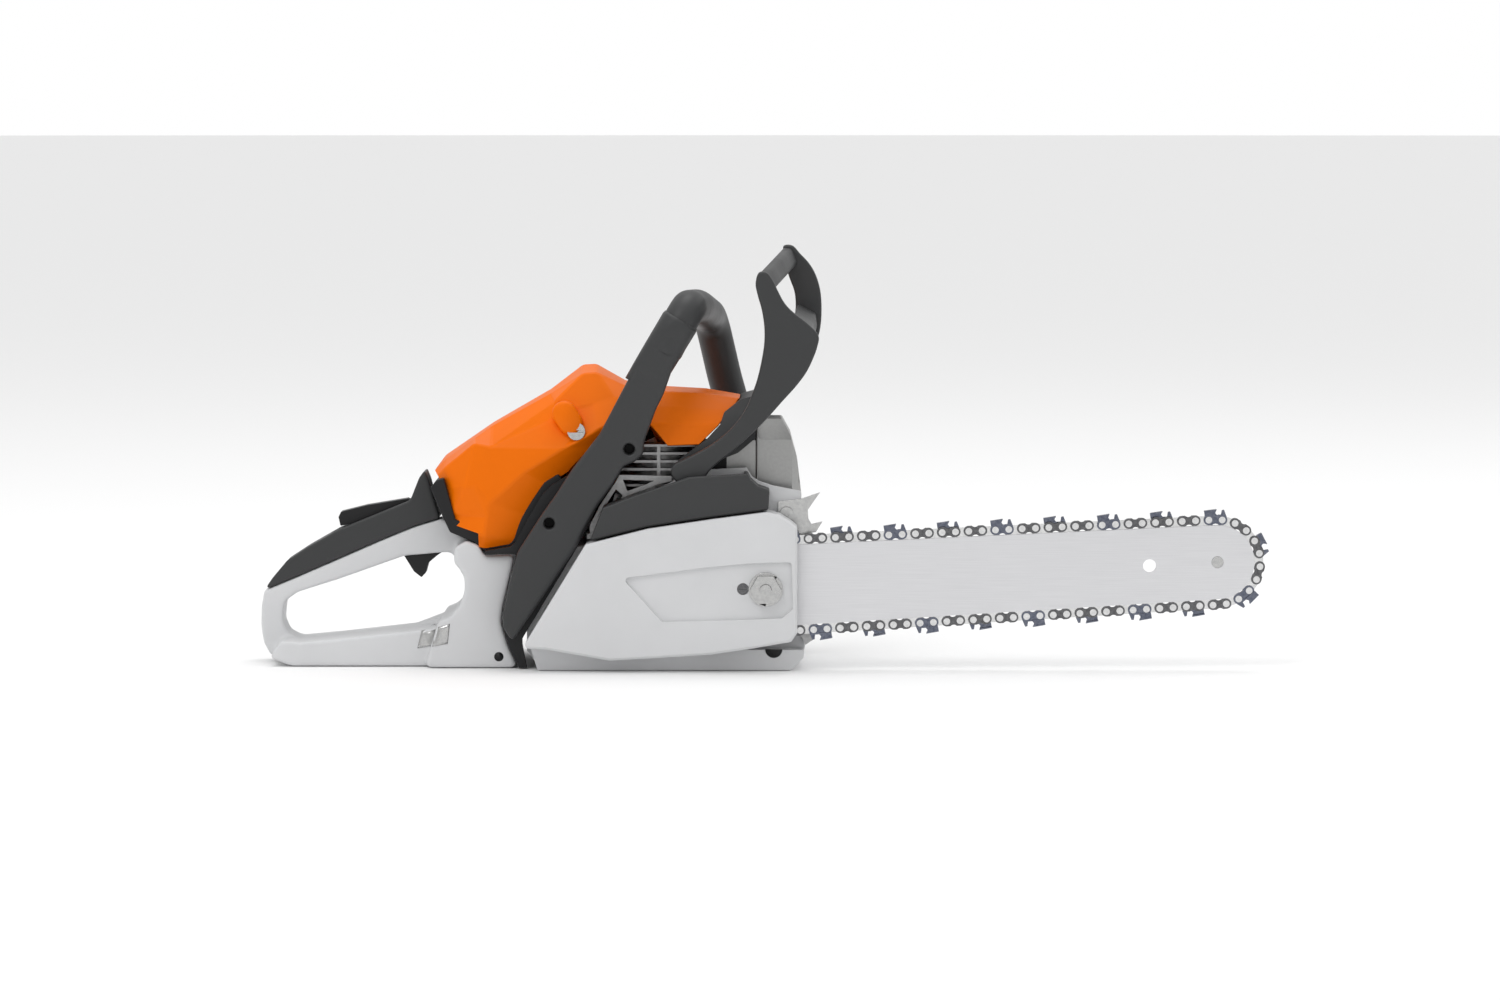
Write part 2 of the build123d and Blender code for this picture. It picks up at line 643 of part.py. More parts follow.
def make_piston():
    piston = bore_rod(PIN_Z - PISTON_SKIRT, PISTON_TOP, BORE_R - FIT)
    piston -= bore_rod(PIN_Z - PISTON_SKIRT - 1, PISTON_TOP - 4, BORE_R - 3)
    bosses = rod_y(CRANK_X, PIN_Z, -BORE_R + 1, -5.5, 7.0) + rod_y(CRANK_X, PIN_Z, 5.5, BORE_R - 1, 7.0)
    piston += bosses & bore_rod(PIN_Z - PISTON_SKIRT, PISTON_TOP - 1, BORE_R - 0.5)
    piston -= rod_y(CRANK_X, PIN_Z, -BORE_R, BORE_R, PISTON_PIN_R)
    rings = []
    for z in RINGS_Z:
        piston -= bore_rod(z - 0.1, z + RING_HEIGHT + 0.1, BORE_R + 1) - bore_rod(z - 1, z + 3,
            BORE_R - 1.7)
        ring = bore_rod(z, z + RING_HEIGHT, BORE_R - 0.05) - bore_rod(z - 1, z + 3, BORE_R - 1.5)
        rings.append(ring - block(CRANK_X - BORE_R - 1, CRANK_X, -0.3, 0.3, z - 1, z + 3))
    save("piston", piston)
    save("piston_rings", *rings)
    pin_half = math.sqrt((BORE_R - FIT) ** 2 - PISTON_PIN_R**2) - 0.5
    save("piston_pin", ring_y(CRANK_X, PIN_Z, -pin_half, pin_half, PISTON_PIN_R, 2.6))
    low = CRANK_Z + STROKE / 2
    rod = rod_y(CRANK_X, low, -4.4, 4.4, 9.6) + rod_y(CRANK_X, PIN_Z, -4.4, 4.4, 6.6)
    rod += block(CRANK_X - 4, CRANK_X + 4, -2.6, 2.6, low + 5, PIN_Z - 4)
    rod -= rod_y(CRANK_X, low, -6, 6, CRANKPIN_R)
    save("connecting_rod", rod - rod_y(CRANK_X, PIN_Z, -6, 6, PISTON_PIN_R))
    save("crankpin", rod_y(CRANK_X, low, -WEB_GAP + GAP, WEB_GAP - GAP, CRANKPIN_R))


CYLINDER_BASE = 88.0
CYLINDER_TOP = 157.0
FIN_PITCH = 5.6
FIN_THICKNESS = 1.7
LOWEST_FIN = 103.6
CRANKCASE_R = 32.0
PORT_Z = 112.0
PORT_R = 9.0
EXHAUST_Z = (114.0, 132.0)
MUFFLER_REAR = 50.0


def make_crankcase():
    body = rod_y(CRANK_X, CRANK_Z, -CASE_HALF, CASE_HALF, CRANKCASE_R)
    body += block(CRANK_X - 28, CRANK_X + 28, -CASE_HALF, CASE_HALF, CRANK_Z, CYLINDER_BASE)
    body += block(CRANK_X - 34, CRANK_X + 34, -CASE_HALF, CASE_HALF, BAY_FLOOR, 26)
    body -= rod_y(CRANK_X, CRANK_Z, -BEARING_Y, BEARING_Y, 26)
    body -= bore_rod(CRANK_Z, CYLINDER_BASE + 1, BORE_R + 3.2)
    body -= rod_y(CRANK_X, CRANK_Z, -CASE_HALF - 1, CASE_HALF + 1, BEARING_R)
    save("engine_pan", body & block(-50, 60, -50, 50, 0, CRANK_Z))
    save("crankcase", body & block(-50, 60, -50, 50, CRANK_Z, 200))


PLUG_TILT = -24.0
PLUG_BASE = (CRANK_X - 2.0, 0.0, PISTON_TOP + 2.0)


def on_plug(distance):
    """A place on the spark plug's axis, which leans back from the combustion chamber."""
    return Pos(*PLUG_BASE) * Rot(Y=PLUG_TILT) * Pos(0, 0, distance)


def make_cylinder():
    barrel = bore_rod(CYLINDER_BASE, 153, 24)
    barrel += block(CRANK_X - 27, CRANK_X + 27, -26, 26, CYLINDER_BASE, CYLINDER_BASE + 7)
    barrel += rod_x(0, PORT_Z, CRANK_X - 36, CRANK_X - 20, PORT_R + 4)
    barrel += block(CRANK_X + 20, MUFFLER_REAR, -17, 17, EXHAUST_Z[0] - 2, EXHAUST_Z[1])
    z = LOWEST_FIN
    while z + FIN_THICKNESS < CYLINDER_TOP:
        barrel += Pos(CRANK_X, 0, z) * extrude(RectangleRounded(64, 74, 9), amount=FIN_THICKNESS)
        z += FIN_PITCH
    barrel += block(CRANK_X - 3, CRANK_X - 0.6, -37, -20, LOWEST_FIN, 155)
    barrel -= bore_rod(CYLINDER_BASE - 1, PISTON_TOP + 2, BORE_R)
    barrel -= Pos(CRANK_X, 0, PISTON_TOP + 2) * Sphere(13)
    barrel -= rod_x(0, PORT_Z, CRANK_X - 40, CRANK_X - 10, PORT_R)
    barrel -= block(CRANK_X + 10, MUFFLER_REAR + 1, -11, 11, EXHAUST_Z[0] + 2, EXHAUST_Z[1] - 4)
    barrel -= on_plug(0) * Cylinder(PLUG_R, 60)
    barrel -= on_plug(21 + 15) * Cylinder(11, 30)
    save("cylinder", barrel)


PLUG_R = 5.0


def make_spark_plug():
    plug = on_plug(15) * Cylinder(PLUG_R, 12) + on_plug(23.5) * Cylinder(8.5, 5) + on_plug(30) * Cylinder(4,
        9)
    save("spark_plug", plug + on_plug(8) * Cylinder(1.4, 4))
    boot = on_plug(34) * Cylinder(8, 16) + on_plug(38) * Pos(0, 8, 0) * Rot(X=90) * Cylinder(4.5, 20)
    save("spark_plug_boot", boot - on_plug(30.3) * Cylinder(4.0 + FIT, 9.2))


# ---- muffler --------------------------------------------------------------------

MUFFLER_HALF = 36.0
MUFFLER_SPLIT = 74.0
MUFFLER_WALL = 1.5
MUFFLER_FLOOR = 104.0
MUFFLER_TOP = 173.0


def muffler_body(inset=0.0):
    """Box that narrows toward the front and the top, shrunk all round by the inset."""
    i, w, top = inset, MUFFLER_HALF - inset, MUFFLER_TOP - inset
    side = [
        (MUFFLER_REAR + i, MUFFLER_FLOOR + i), (104.6 - i, MUFFLER_FLOOR + i), (104.6 - i, 120),
        (101.9 - i, 143),
        (96.9 - i, 162), (91 - i, top), (57 + i, top), (MUFFLER_REAR + i, 166),
    ]
    front = [(-w, 100), (-w, 159 - i), (-24 + i / 2, top), (24 - i / 2, top), (w, 159 - i), (w, 100)]
    plan = [(40, -w), (98 - i, -w), (106, -24 + i / 2), (106, 24 - i / 2), (98 - i, w), (40, w)]
    return slab(side, -w, w, 2.0) & prism_x(front, 40, 120) & prism_z(plan, 90, 190)


def make_muffler():
    shell = muffler_body() - muffler_body(MUFFLER_WALL)
    rear = shell & block(40, MUFFLER_SPLIT, -60, 60, 90, 190)
    rear -= block(MUFFLER_REAR - 1, MUFFLER_REAR + 3, -11, 11, EXHAUST_Z[0] + 2, EXHAUST_Z[1] - 4)
    front = shell & block(MUFFLER_SPLIT, 120, -60, 60, 90, 190)
    seam = muffler_body(-1.5) - muffler_body(MUFFLER_WALL)
    rear += seam & block(MUFFLER_SPLIT - 1.2, MUFFLER_SPLIT, -60, 60, 90, 190)
    front += seam & block(MUFFLER_SPLIT, MUFFLER_SPLIT + 1.2, -60, 60, 90, 190)
    for k in range(5):
        front -= block(93, 115, -29 + 9 * k, -24 + 9 * k, 128, 152)
    save("muffler_rear_shell", rear)
    save("muffler_front_shell", front)


# ---- fuel and air --------------------------------------------------------------

CARB_X = (-98.0, -66.0)
CARB_HALF = 17.0
THROTTLE_X = -76.0
SPINDLE_R = 2.5
FILTER_REAR = -130.0


def make_intake():
    start = CRANK_X - 36
    manifold = rod_x(0, PORT_Z, CARB_X[1], start, PORT_R + 4) + rod_x(0, PORT_Z, CARB_X[1], CARB_X[1] + 5,
        17)
    manifold += rod_x(0, PORT_Z, start - 5, start, 17)
    save("intake_manifold", manifold - rod_x(0, PORT_Z, CARB_X[1] - 1, start + 1, PORT_R))
    carb = block(*CARB_X, -CARB_HALF, CARB_HALF, 96, 131) - rod_x(0, PORT_Z, CARB_X[0] - 1, CARB_X[1] + 1,
        PORT_R)
    save("carburettor", carb - rod_y(THROTTLE_X, PORT_Z, -18, 18, SPINDLE_R + FIT))
    valve = rod_y(THROTTLE_X, PORT_Z, -CARB_HALF - 6, CARB_HALF + 6, SPINDLE_R)
    valve += block(THROTTLE_X - 0.6, THROTTLE_X + 0.6, -5.5, 5.5, PORT_Z - 6.5, PORT_Z + 6.5)
    valve += block(THROTTLE_X - 3, THROTTLE_X + 3, CARB_HALF + 3, CARB_HALF + 5, PORT_Z, PORT_Z + 13)
    save("throttle_valve", valve)
    box = block(FILTER_REAR, CARB_X[0], -34, 38, 99, 146)
    box -= rod_x(0, PORT_Z, CARB_X[0] - 15, CARB_X[0] + 1, PORT_R)
    for k in range(9):
        y = -30 + 8 * k
        box -= block(FILTER_REAR - 1, FILTER_REAR + 14, y, y + 3, 103, 142)
    save("air_filter", box)


# ---- flywheel and starter --------------------------------------------------------

ROTOR_Y = (FLYWHEEL_Y[1] + 3.0, FLYWHEEL_Y[1] + 11.0)
ROTOR_R = 26.0
ROPE_R = 1.6
ROPE_X = CRANK_X - ROTOR_R - ROPE_R - 0.3
ROPE_Y = (ROTOR_Y[0] + ROTOR_Y[1]) / 2
FAN_WALL = 2.6
FAN_TOP = 114.0
FAN_CHAMFER = 14.0
STARTER_POST_R = 5.0


def make_flywheel():
    y0, y1 = FLYWHEEL_Y
    disc = HOUSING_LEFT + 2.0
    wheel = rod_y(CRANK_X, CRANK_Z, disc, disc + 5, FLYWHEEL_R) + rod_y(CRANK_X, CRANK_Z, y0, y1, HUB_R)
    for k in range(18):
        wheel += CRANK_AXIS * Rot(Y=20 * k) * block(12, FLYWHEEL_R - 1, disc + 4, y1, -0.9, 0.9)
    save("flywheel", wheel - rod_y(CRANK_X, CRANK_Z, y0 - 1, y1 + 1, CRANK_END_R))
    save("ignition_module", block(14, 40, HOUSING_LEFT, HOUSING_LEFT + 8, 102, 110))


def make_starter():
    y0, y1 = ROTOR_Y
    rotor = rod_y(CRANK_X, CRANK_Z, y0, y1, ROTOR_R + 4)
    rotor -= ring_y(CRANK_X, CRANK_Z, y0 + 1.6, y1 - 1.6, ROTOR_R + 5, ROTOR_R)
    save("starter_rotor", rotor - rod_y(CRANK_X, CRANK_Z, y0 - 1, y1 + 1, STARTER_POST_R + FIT))
    spring = block(CRANK_X + 8.5, CRANK_X + 24, y1 + 1, y1 + 5, CRANK_Z - 0.6, CRANK_Z + 0.6)
    for r in (24, 20, 16, 12):
        spring += ring_y(CRANK_X, CRANK_Z, y1 + 1, y1 + 5, r, r - 1.2)
    save("rewind_spring", spring)
    grip_z = FAN_TOP + 3
    save("starter_rope", rod_z(ROPE_X, ROPE_Y, CRANK_Z + 2, grip_z + 4, ROPE_R))
    grip = fillet(Box(44, 16, 16).edges().filter_by(Axis.X), 6)
    grip = Pos(ROPE_X, ROPE_Y, grip_z + 8) * grip + rod_z(ROPE_X, ROPE_Y, grip_z - 2, grip_z + 4, 6)
    save("starter_grip", grip - rod_z(ROPE_X, ROPE_Y, grip_z - 3, grip_z + 4, ROPE_R))


def make_fan_housing():
    outline = [(-84, 16), (-72, 3), (44, 3), (57, 16), (57, 102), (45, FAN_TOP), (-60, FAN_TOP), (-84, 92)]
    edge = [(HOUSING_LEFT, 0), (FAN_OUT, 0), (FAN_OUT, FAN_TOP - FAN_CHAMFER),
        (FAN_OUT - FAN_CHAMFER, FAN_TOP), (HOUSING_LEFT, FAN_TOP)]
    w = FAN_WALL
    inner = [
        (-84 + w, 17), (-71, 3 + w), (43, 3 + w), (57 - w, 17), (57 - w, 101), (44, FAN_TOP - w),
        (-59, FAN_TOP - w), (-84 + w, 91),
    ]
    inner_edge = [
        (HOUSING_LEFT - 1, 0), (FAN_OUT - w, 0), (FAN_OUT - w, FAN_TOP - FAN_CHAMFER - 1),
        (FAN_OUT - FAN_CHAMFER - 1, FAN_TOP - w),
        (HOUSING_LEFT - 1, FAN_TOP - w),
    ]
    shell = slab(outline, HOUSING_LEFT, FAN_OUT, 6.0) & prism_x(edge, -100, 100)
    shell -= slab(inner, HOUSING_LEFT - 1, FAN_OUT, 5.0) & prism_x(inner_edge, -100, 100)
    for radius, count in ((20, 10), (31, 16), (42, 22)):
        for k in range(count):
            shell -= Pos(CRANK_X, FAN_OUT, CRANK_Z) * Rot(Y=360 / count * k) * Pos(radius, 0, 0) * Box(8,
                10, 3.4)
    shell += rod_y(CRANK_X, CRANK_Z, ROTOR_Y[0] - 1.0, FAN_OUT - 1, STARTER_POST_R)
    shell += rod_y(CRANK_X, CRANK_Z, ROTOR_Y[1] + 0.6, FAN_OUT - 1, 8)
    shell -= rod_z(ROPE_X, ROPE_Y, FAN_TOP - 20, FAN_TOP + 5, ROPE_R + 0.5)
    save("fan_housing", shell)


# ---- caps -------------------------------------------------------------------------

FUEL_CAP = (-116.0, 42.0)
TANK_LEFT = 66.0


def cap(x, z, y_face):
    body = rod_y(x, z, y_face - 8, y_face + 1, CAP_R - FIT) + rod_y(x, z, y_face + 0.3, y_face + 7,
        CAP_R + 3.5)
    body -= ring_y(x, z, y_face + 3, y_face + 8, CAP_R + 1, 3)
    return body + block(x - 12, x + 12, y_face + 2, y_face + 10, z - 2.2, z + 2.2)


def make_caps():
    save("oil_cap", cap(*OIL_CAP, HOUSING_LEFT))
    save("fuel_cap", cap(*FUEL_CAP, TANK_LEFT))


# ---- rear handle, tank and controls ---------------------------------------------

TANK_RIGHT = -58.0
HANDLE_BASE_RIGHT = -46.0
CHANNEL_HALF = 9.0
TRIGGER_PIVOT = (-157.0, 88.0)
LOCKOUT_PIVOT = (-174.0, 108.0)
LEVER_PIVOT = (-163.0, 113.0)
TRUNNION_R = 2.5
GRIP_LINE = [(-275.6, 50.8), (-254.1, 59.7), (-222.9, 73.2), (-191.8, 86.8), (-169, 96.1), (-150.3, 101.8)]
HAND_GAP = [
    (-262.5, 30), (-261, 43), (-252, 49.5), (-222.9, 58.7), (-176.2, 75.3), (-144.1, 78.1), (-135.8, 70.2),
    (-131.7, 62.9),
    (-131.7, 53.5), (-135.4, 43.1), (-142, 35.8), (-169, 25.4), (-222.9, 19.1), (-250, 16.5), (-259, 21.5),
]


def make_tank_housing():
    """Fuel tank with the rear handle moulded in one piece; the grip shell closes the handle's top."""
    handle = slab(
        [(-94, 0), (-257, 0), (-266, 1.5), (-272, 6), (-276.2, 14), (-278, 26), (-277.6, 38.7), *GRIP_LINE,
        (-144, 99), (-139, 94),
         (-131, 89), (-121.4, 85.9), (-118, 78.6), (-96, 79.6), (-105, 41.5), (-106, 31.2), (-101, 14.7)],
        -HANDLE_HALF, HANDLE_HALF, 1.0,
    )
    tank = slab(
        [(-94, 0), (-160, 0), (-150, 33), (-141, 38), (-134, 54), (-134, 63), (-139, 72), (-139, 84),
        (-130.5, 89.3), (-121.4, 85.9),
         (-118, 78.6), (-96, 79.6), (-105, 41.5), (-106, 31.2), (-101, 14.7)],
        TANK_RIGHT, TANK_LEFT, 3.0,
    )
    base = slab([(-120, 0), (-255, 0), (-270, 6), (-262, 17), (-222.9, 19), (-169, 25), (-130, 30)],
                HANDLE_BASE_RIGHT, HANDLE_HALF + 6, 2.0)
    body = handle + tank + base
    body -= slab(HAND_GAP, -80, 80, 3.0)
    body -= slab([(-130, 8), (-110, 8), (-112, 36), (-105, 74), (-126, 74), (-127, 60), (-128, 44)],
                 TANK_RIGHT + 5, TANK_LEFT - 5)
    body -= rod_y(*FUEL_CAP, TANK_LEFT - 12, TANK_LEFT + 1, CAP_R)
    body -= slab([(-184, 60), (-184, 110), (-146, 110), (-143.5, 84), (-145, 60)], -CHANNEL_HALF,
        CHANNEL_HALF)
    body -= rod_y(*TRIGGER_PIVOT, -CHANNEL_HALF - 4, CHANNEL_HALF + 4, TRUNNION_R + FIT)
    save("tank_housing", body)


def make_handle_molding():
    shell = slab(
        [(-269.8, 59.5), (-259.3, 72), (-244.8, 81.5), (-222.9, 94), (-171.9, 114.8), (-165.7, 130.5),
        (-161.5, 136.4),
         (-158.4, 128.5), (-157.4, 124.3), (-150.8, 102.2), *[(x, z + 0.2) for x,
         z in reversed(GRIP_LINE[:-1])]],
        -HANDLE_HALF - 0.5, HANDLE_HALF + 0.5, 1.0,
    )
    shell -= block(-228, -167, -CHANNEL_HALF, CHANNEL_HALF, 60, 118.5)
    shell -= block(-170, -154.5, -CHANNEL_HALF, CHANNEL_HALF, 80, 105)
    shell -= rod_y(*LOCKOUT_PIVOT, -CHANNEL_HALF - 4, CHANNEL_HALF + 4, TRUNNION_R + FIT)
    shell -= rod_y(*LEVER_PIVOT, HANDLE_HALF - 6, HANDLE_HALF + 2, 3 + FIT)
    save("handle_molding", shell)


def make_controls():
    half = CHANNEL_HALF - 1.0
    blade = [
        (-178, 82), (-177, 75.2), (-169.9, 63.7), (-164.6, 59.5), (-161.5, 62.7), (-159.4, 70),
        (-153.2, 75.2), (-147.5, 79),
        (-151, 90), (-158, 94.5), (-167, 91.5),
    ]
    trunnion = rod_y(*TRIGGER_PIVOT, -half - 4.5, half + 4.5, TRUNNION_R)
    save("throttle_trigger", slab(blade, -half, half, 0.8) + trunnion)
    lever = [(-221.9, 96), (-223.3, 102.3), (-221.5, 106), (-203.2, 110.6), (-174, 115.4), (-168.5, 110),
        (-169, 103.5), (-200, 100)]
    trunnion = rod_y(*LOCKOUT_PIVOT, -half - 4.5, half + 4.5, TRUNNION_R)
    save("throttle_lockout", slab(lever, -half + 1, half - 1, 0.8) + trunnion)
    inner = HANDLE_HALF + 1.5
    knob = slab([(-170, 112), (-161, 107.5), (-157, 112), (-160, 124), (-166, 127), (-170, 122)], inner,
        inner + 8, 1.5)
    save("control_lever", knob + rod_y(*LEVER_PIVOT, HANDLE_HALF - 5, inner + 1, 3))


# ---- front handlebar ---------------------------------------------------------------

LEG_Y = -72.0
LEG_HALF = 9.0
LEG_HOLES = [(-15.7, 154.9), (-71.5, 103.1)]
LEG_HOLE_R = 4.0


def make_front_handlebar():
    leg = slab(
        [(-0.7, 230.6), (-17.7, 200.7), (-36.6, 164.8), (-55.5, 140.6), (-67.5, 122), (-77.5, 108),
        (-93.7, 82.7), (-99.9, 59.2),
         (-104.3, 37.3), (-103.9, 30.3), (-97.4, 20), (-52.5, 86), (-49, 95), (-37.8, 115), (-26.6, 130.6),
         (-19.4, 142.9),
         (-11.7, 145.9), (-6, 151), (-5.2, 160), (3.2, 182.8), (8.2, 192.7), (15.2, 212.6), (24.7, 228.6)],
        LEG_Y - LEG_HALF, LEG_Y + LEG_HALF, 2.0,
    )
    leg = chamfer(leg.faces().sort_by(Axis.Y)[0].edges(), 1.5)
    points = [
        (8.5, LEG_Y, 222), (25, LEG_Y, 253), (31, 20, 250.5), (40, 98, 240), (50, 105, 196), (66, 105, 140),
        (90, 102, 60),
        (92, 72, 16), (92, HOUSING_LEFT, 16),
    ]
    path = FilletPolyline(*points, radius=[15, 300, 22, 90, 200, 20, 9])
    tube = sweep(Plane(origin=path @ 0, z_dir=path % 0) * Circle(TUBE_R), path=path)
    bar = leg + tube
    for x, z in LEG_HOLES:
        bar -= rod_y(x, z, LEG_Y - 20, LEG_Y + 20, LEG_HOLE_R)
    save("front_handlebar", bar)
    frame = slab(
        [(-59, 135.4), (-70.4, 128.3), (-77, 121.8), (-86.8, 105), (-95.8, 88.3), (-99.5, 85.4),
        (-117, 82.5), (-117.6, 80), (-95.2, 80.2),
         (-104.4, 41.5), (-105.3, 31.2), (-100.4, 15), (-93.3, 0.4), (-88, 0.4), (-91, 17), (-91, 21),
         (-52, 86), (-47.5, 95), (-40, 110),
         (-50, 132)],
        LEG_Y + LEG_HALF, HOUSING_RIGHT - 0.2, 0.5,
    )
    save("handle_frame", frame - rod_y(*LEG_HOLES[1], -80, -50, LEG_HOLE_R))
    plugs = [rod_y(x, z, LEG_Y + 3, LEG_Y + LEG_HALF, LEG_HOLE_R) for x, z in LEG_HOLES]
    save("buffer_plugs", *plugs)


# ---- hand guard ---------------------------------------------------------------------

GUARD_Y = (-79.0, -79.0 + GUARD_THICKNESS)
FAR_GUARD_Y = (54.0, 54.0 + GUARD_THICKNESS)
NEAR_ARM = [
    (73, 278.2), (72, 269.5), (73.7, 261.9), (76.6, 251.6), (78.3, 240), (78.3, 228.4), (76.6, 216.9),
    (73.7, 204.1),
    (65.6, 182.1), (49.5, 163.7), (24, 148.6), (14.8, 143.9), (13.1, 140.5), (14.8, 135.8), (21, 129),
    (30, 120.5),
    (38, 129), (44.9, 145.1), (67.9, 163.7), (90.9, 188), (107.2, 207.6), (115.2, 226), (116.3, 235.3),
    (108.4, 242.5),
    (98.2, 250.1), (87.9, 264.5), (81.4, 277.2),
]
FAR_ARM = [
    (91, 294), (94, 277), (100, 261), (101.2, 253), (100.5, 243), (97, 230), (81, 199), (58, 170),
    (44, 157), (28, 147),
    (21, 138), (21, 129), (30, 120.5), (38, 129), (47, 140), (74, 164), (100, 194), (117, 226),
    (119.9, 240), (119.5, 260),
    (112.9, 278), (103.5, 287.4), (100.2, 293.1),
]


def bridge(near, far):
    """A bar between the two arms: one (x, z) section in the near arm, one in the far arm."""
    ends = []
    for y, corners in ((GUARD_Y[0] + 3, near), (FAR_GUARD_Y[1] - 3, far)):
        ends.append(make_face(Polyline(*[(x, y, z) for x, z in corners], close=True)))
    return loft(ends)


def make_hand_guard():
    guard = slab(NEAR_ARM, *GUARD_Y, 2.0) + slab(FAR_ARM, *FAR_GUARD_Y, 2.0)
    guard += bridge([(73.6, 277.6), (80.8, 277), (86, 267), (76, 264)],
        [(91.6, 293.4), (99.6, 292.6), (103, 282), (95, 278)])
    guard += bridge([(99.5, 248), (111, 239), (107, 212), (98, 206)], [(102.5, 252), (116, 246), (112, 220),
        (101, 208)])
    for y in (GUARD_Y, FAR_GUARD_Y):
        guard -= rod_y(*GUARD_PIVOT, y[0] - 1, y[1] + 1, PIVOT_R + FIT)
    save("hand_guard", guard)
    pins = [
        rod_y(*GUARD_PIVOT, GUARD_Y[0] + 1, HOUSING_RIGHT + FENCE, PIVOT_R),
        rod_y(*GUARD_PIVOT, HOUSING_LEFT - FENCE, FAR_GUARD_Y[1] - 1, PIVOT_R),
    ]
    save("hand_guard_pins", *pins)


# ---- shroud ----------------------------------------------------------------------

SHROUD_RIGHT = -60.2
SHROUD_LEFT = 62.0
SHROUD_FRONT = 50.0
LOCK = (-53.1, 166.0)
LOCK_R = 6.2
TOP_LINE = [
    (-154.1, 136.9), (-147.4, 145.9), (-127, 159.7), (-104.4, 175.4), (-86.2, 184.5), (-72.7, 192.5),
    (-60.1, 202.7), (-49.9, 210.5),
    (-39.8, 211.2), (-19.4, 197.6), (7, 194.9), (37.5, 193.2), (SHROUD_FRONT + 12, 188.2),
]
REAR_LINE = [
    (-71.2, 129.9), (-78.2, 123.3), (-88.2, 106.3), (-97.2, 89.7), (-100.3, 86.9), (-117.3, 84),
    (-120.8, 84.9), (-121.9, 94.5),
    (-137.3, 99.5), (-140.8, 107.3), (-148.6, 130.7),
]


def shroud_profile(inset=0.0):
    r, l, i = SHROUD_RIGHT + inset, SHROUD_LEFT - inset, inset
    return [
        (r, 70), (r, 152 - i), (r + 8, 176 - i), (r + 24, 199 - i), (r + 40, 214 - i), (l - 40, 214 - i),
        (l - 24, 199 - i),
        (l - 8, 176 - i), (l, 152 - i), (l, 70),
    ]


def make_shroud():
    right_edge = [
        (SHROUD_FRONT, 179.1), (47, 171.1), (38, 161.9), (29.6, 156.7), (9.9, 156.7), (-2.1, 171.1),
        (-8.1, 178.1),
        (-20.1, 176.1), (-40.2, 158.1), (-56.2, 141), (-59.2, 137.4),
    ]
    left_edge = [(SHROUD_FRONT, 179.1), (47, 171.1), (30, 160), (11, 152), (8, 118), (-62, 118)]
    outer = slab(TOP_LINE + right_edge + REAR_LINE, SHROUD_RIGHT, 0.5)
    outer += slab(TOP_LINE + left_edge + REAR_LINE, 0.5, SHROUD_LEFT)
    outer &= prism_x(shroud_profile(), -200, 100)
    w = WALL
    inner = [
        (-150, 100), (-150.5, 135.5), (-145, 143), (-125.5, 156), (-102.8, 171.8), (-84.6, 181),
        (-70.8, 189.3), (-58.5, 199.4),
        (-48.7, 207), (-41.2, 207.6), (-20.6, 194.2), (7, 191.4), (37, 189.8), (60, 186), (60, 60),
        (-136, 60), (-136, 100),
        (-139, 103), (-146, 128),
    ]
    cavity = slab(inner, SHROUD_RIGHT + w, SHROUD_LEFT - w) & prism_x(shroud_profile(w), -200, 100)
    shell = outer - cavity
    x, z = LOCK
    shell += rod_y(x, z, SHROUD_RIGHT + 3, SHROUD_RIGHT + 14, LOCK_R + 2.5)
    shell -= rod_y(x, z, SHROUD_RIGHT - 4, SHROUD_RIGHT + 20, LOCK_R + FIT)
    save("shroud", shell)
    near = SHROUD_RIGHT + 2
    lock = rod_y(x, z, near, near + 16, LOCK_R) + rod_y(x, z, near + 15, near + 24, 3)
    lock += block(x - 5, x + 5, near + 20, near + 23, z - 1.5, z + 1.5)
    save("shroud_lock", lock - block(x - 5, x + 5, near - 1, near + 1.5, z - 0.8, z + 0.8))


def make_shroud_nose():
    """Heat shield over the muffler, in front of the shroud."""
    start = SHROUD_FRONT + 0.3
    side = [
        (start, 178.8), (start + 12.2, 187.8), (72, 190.3), (74, 180), (72, 161), (60, 151), (40, 143),
        (17, 145), (29.9, 154.5),
        (38.2, 160.6), (47.5, 170.5),
    ]
    nose = slab([(start, 176), (start, 178.8), (start + 12.2, 187.8), (72, 190.3), (74, 180), (73.6, 176)],
        -57, 50, 0.5)
    nose -= slab([(start - 1, 170), (start - 1, 174), (62.5, 184.4), (71, 186), (71, 170)], -50, 46.5)
    nose &= prism_x(shroud_profile(0.5), 0, 100)
    band = [(-58.5, 100), (-58.5, 157), (-51.2, 177), (-41, 192), (-36, 192), (-47.2, 177), (-55, 157),
        (-55, 100)]
    nose += slab(side, -60, -30, 0.5) & prism_x(band, 0, 100)
    save("shroud_nose", nose)


# ---- support casting ----------------------------------------------------------------


def make_engine_bracket():
    """Die-cast truss standing on the right-hand housing wall beside the cylinder."""
    y0, y1 = HOUSING_RIGHT + FENCE + 0.5, HOUSING_RIGHT + FENCE + 4.5
    truss = slab(
        [(-44, HOUSING_TOP), (-44, 100), (-36.7, 113.8), (-26, 129.9), (-23, 135.3), (13.4, 134.4),
        (13.6, 130.8), (4, 128.6), (-5.3, 124.5),
         (-19, 119), (-28, 104), (-28, HOUSING_TOP)],
        y0, y1, 0.5,
    )
    truss -= slab([(-20.5, 131.5), (-17.5, 123.8), (-6, 128), (1, 131)], y0 - 1, y1 + 1)
    truss -= slab([(-33, 113), (-25.5, 125), (-21, 120.5), (-30, 108)], y0 - 1, y1 + 1)
    foot = block(-46, -20, y0, BAY_RIGHT, HOUSING_TOP, HOUSING_TOP + 4)
    save("engine_bracket", truss + foot)


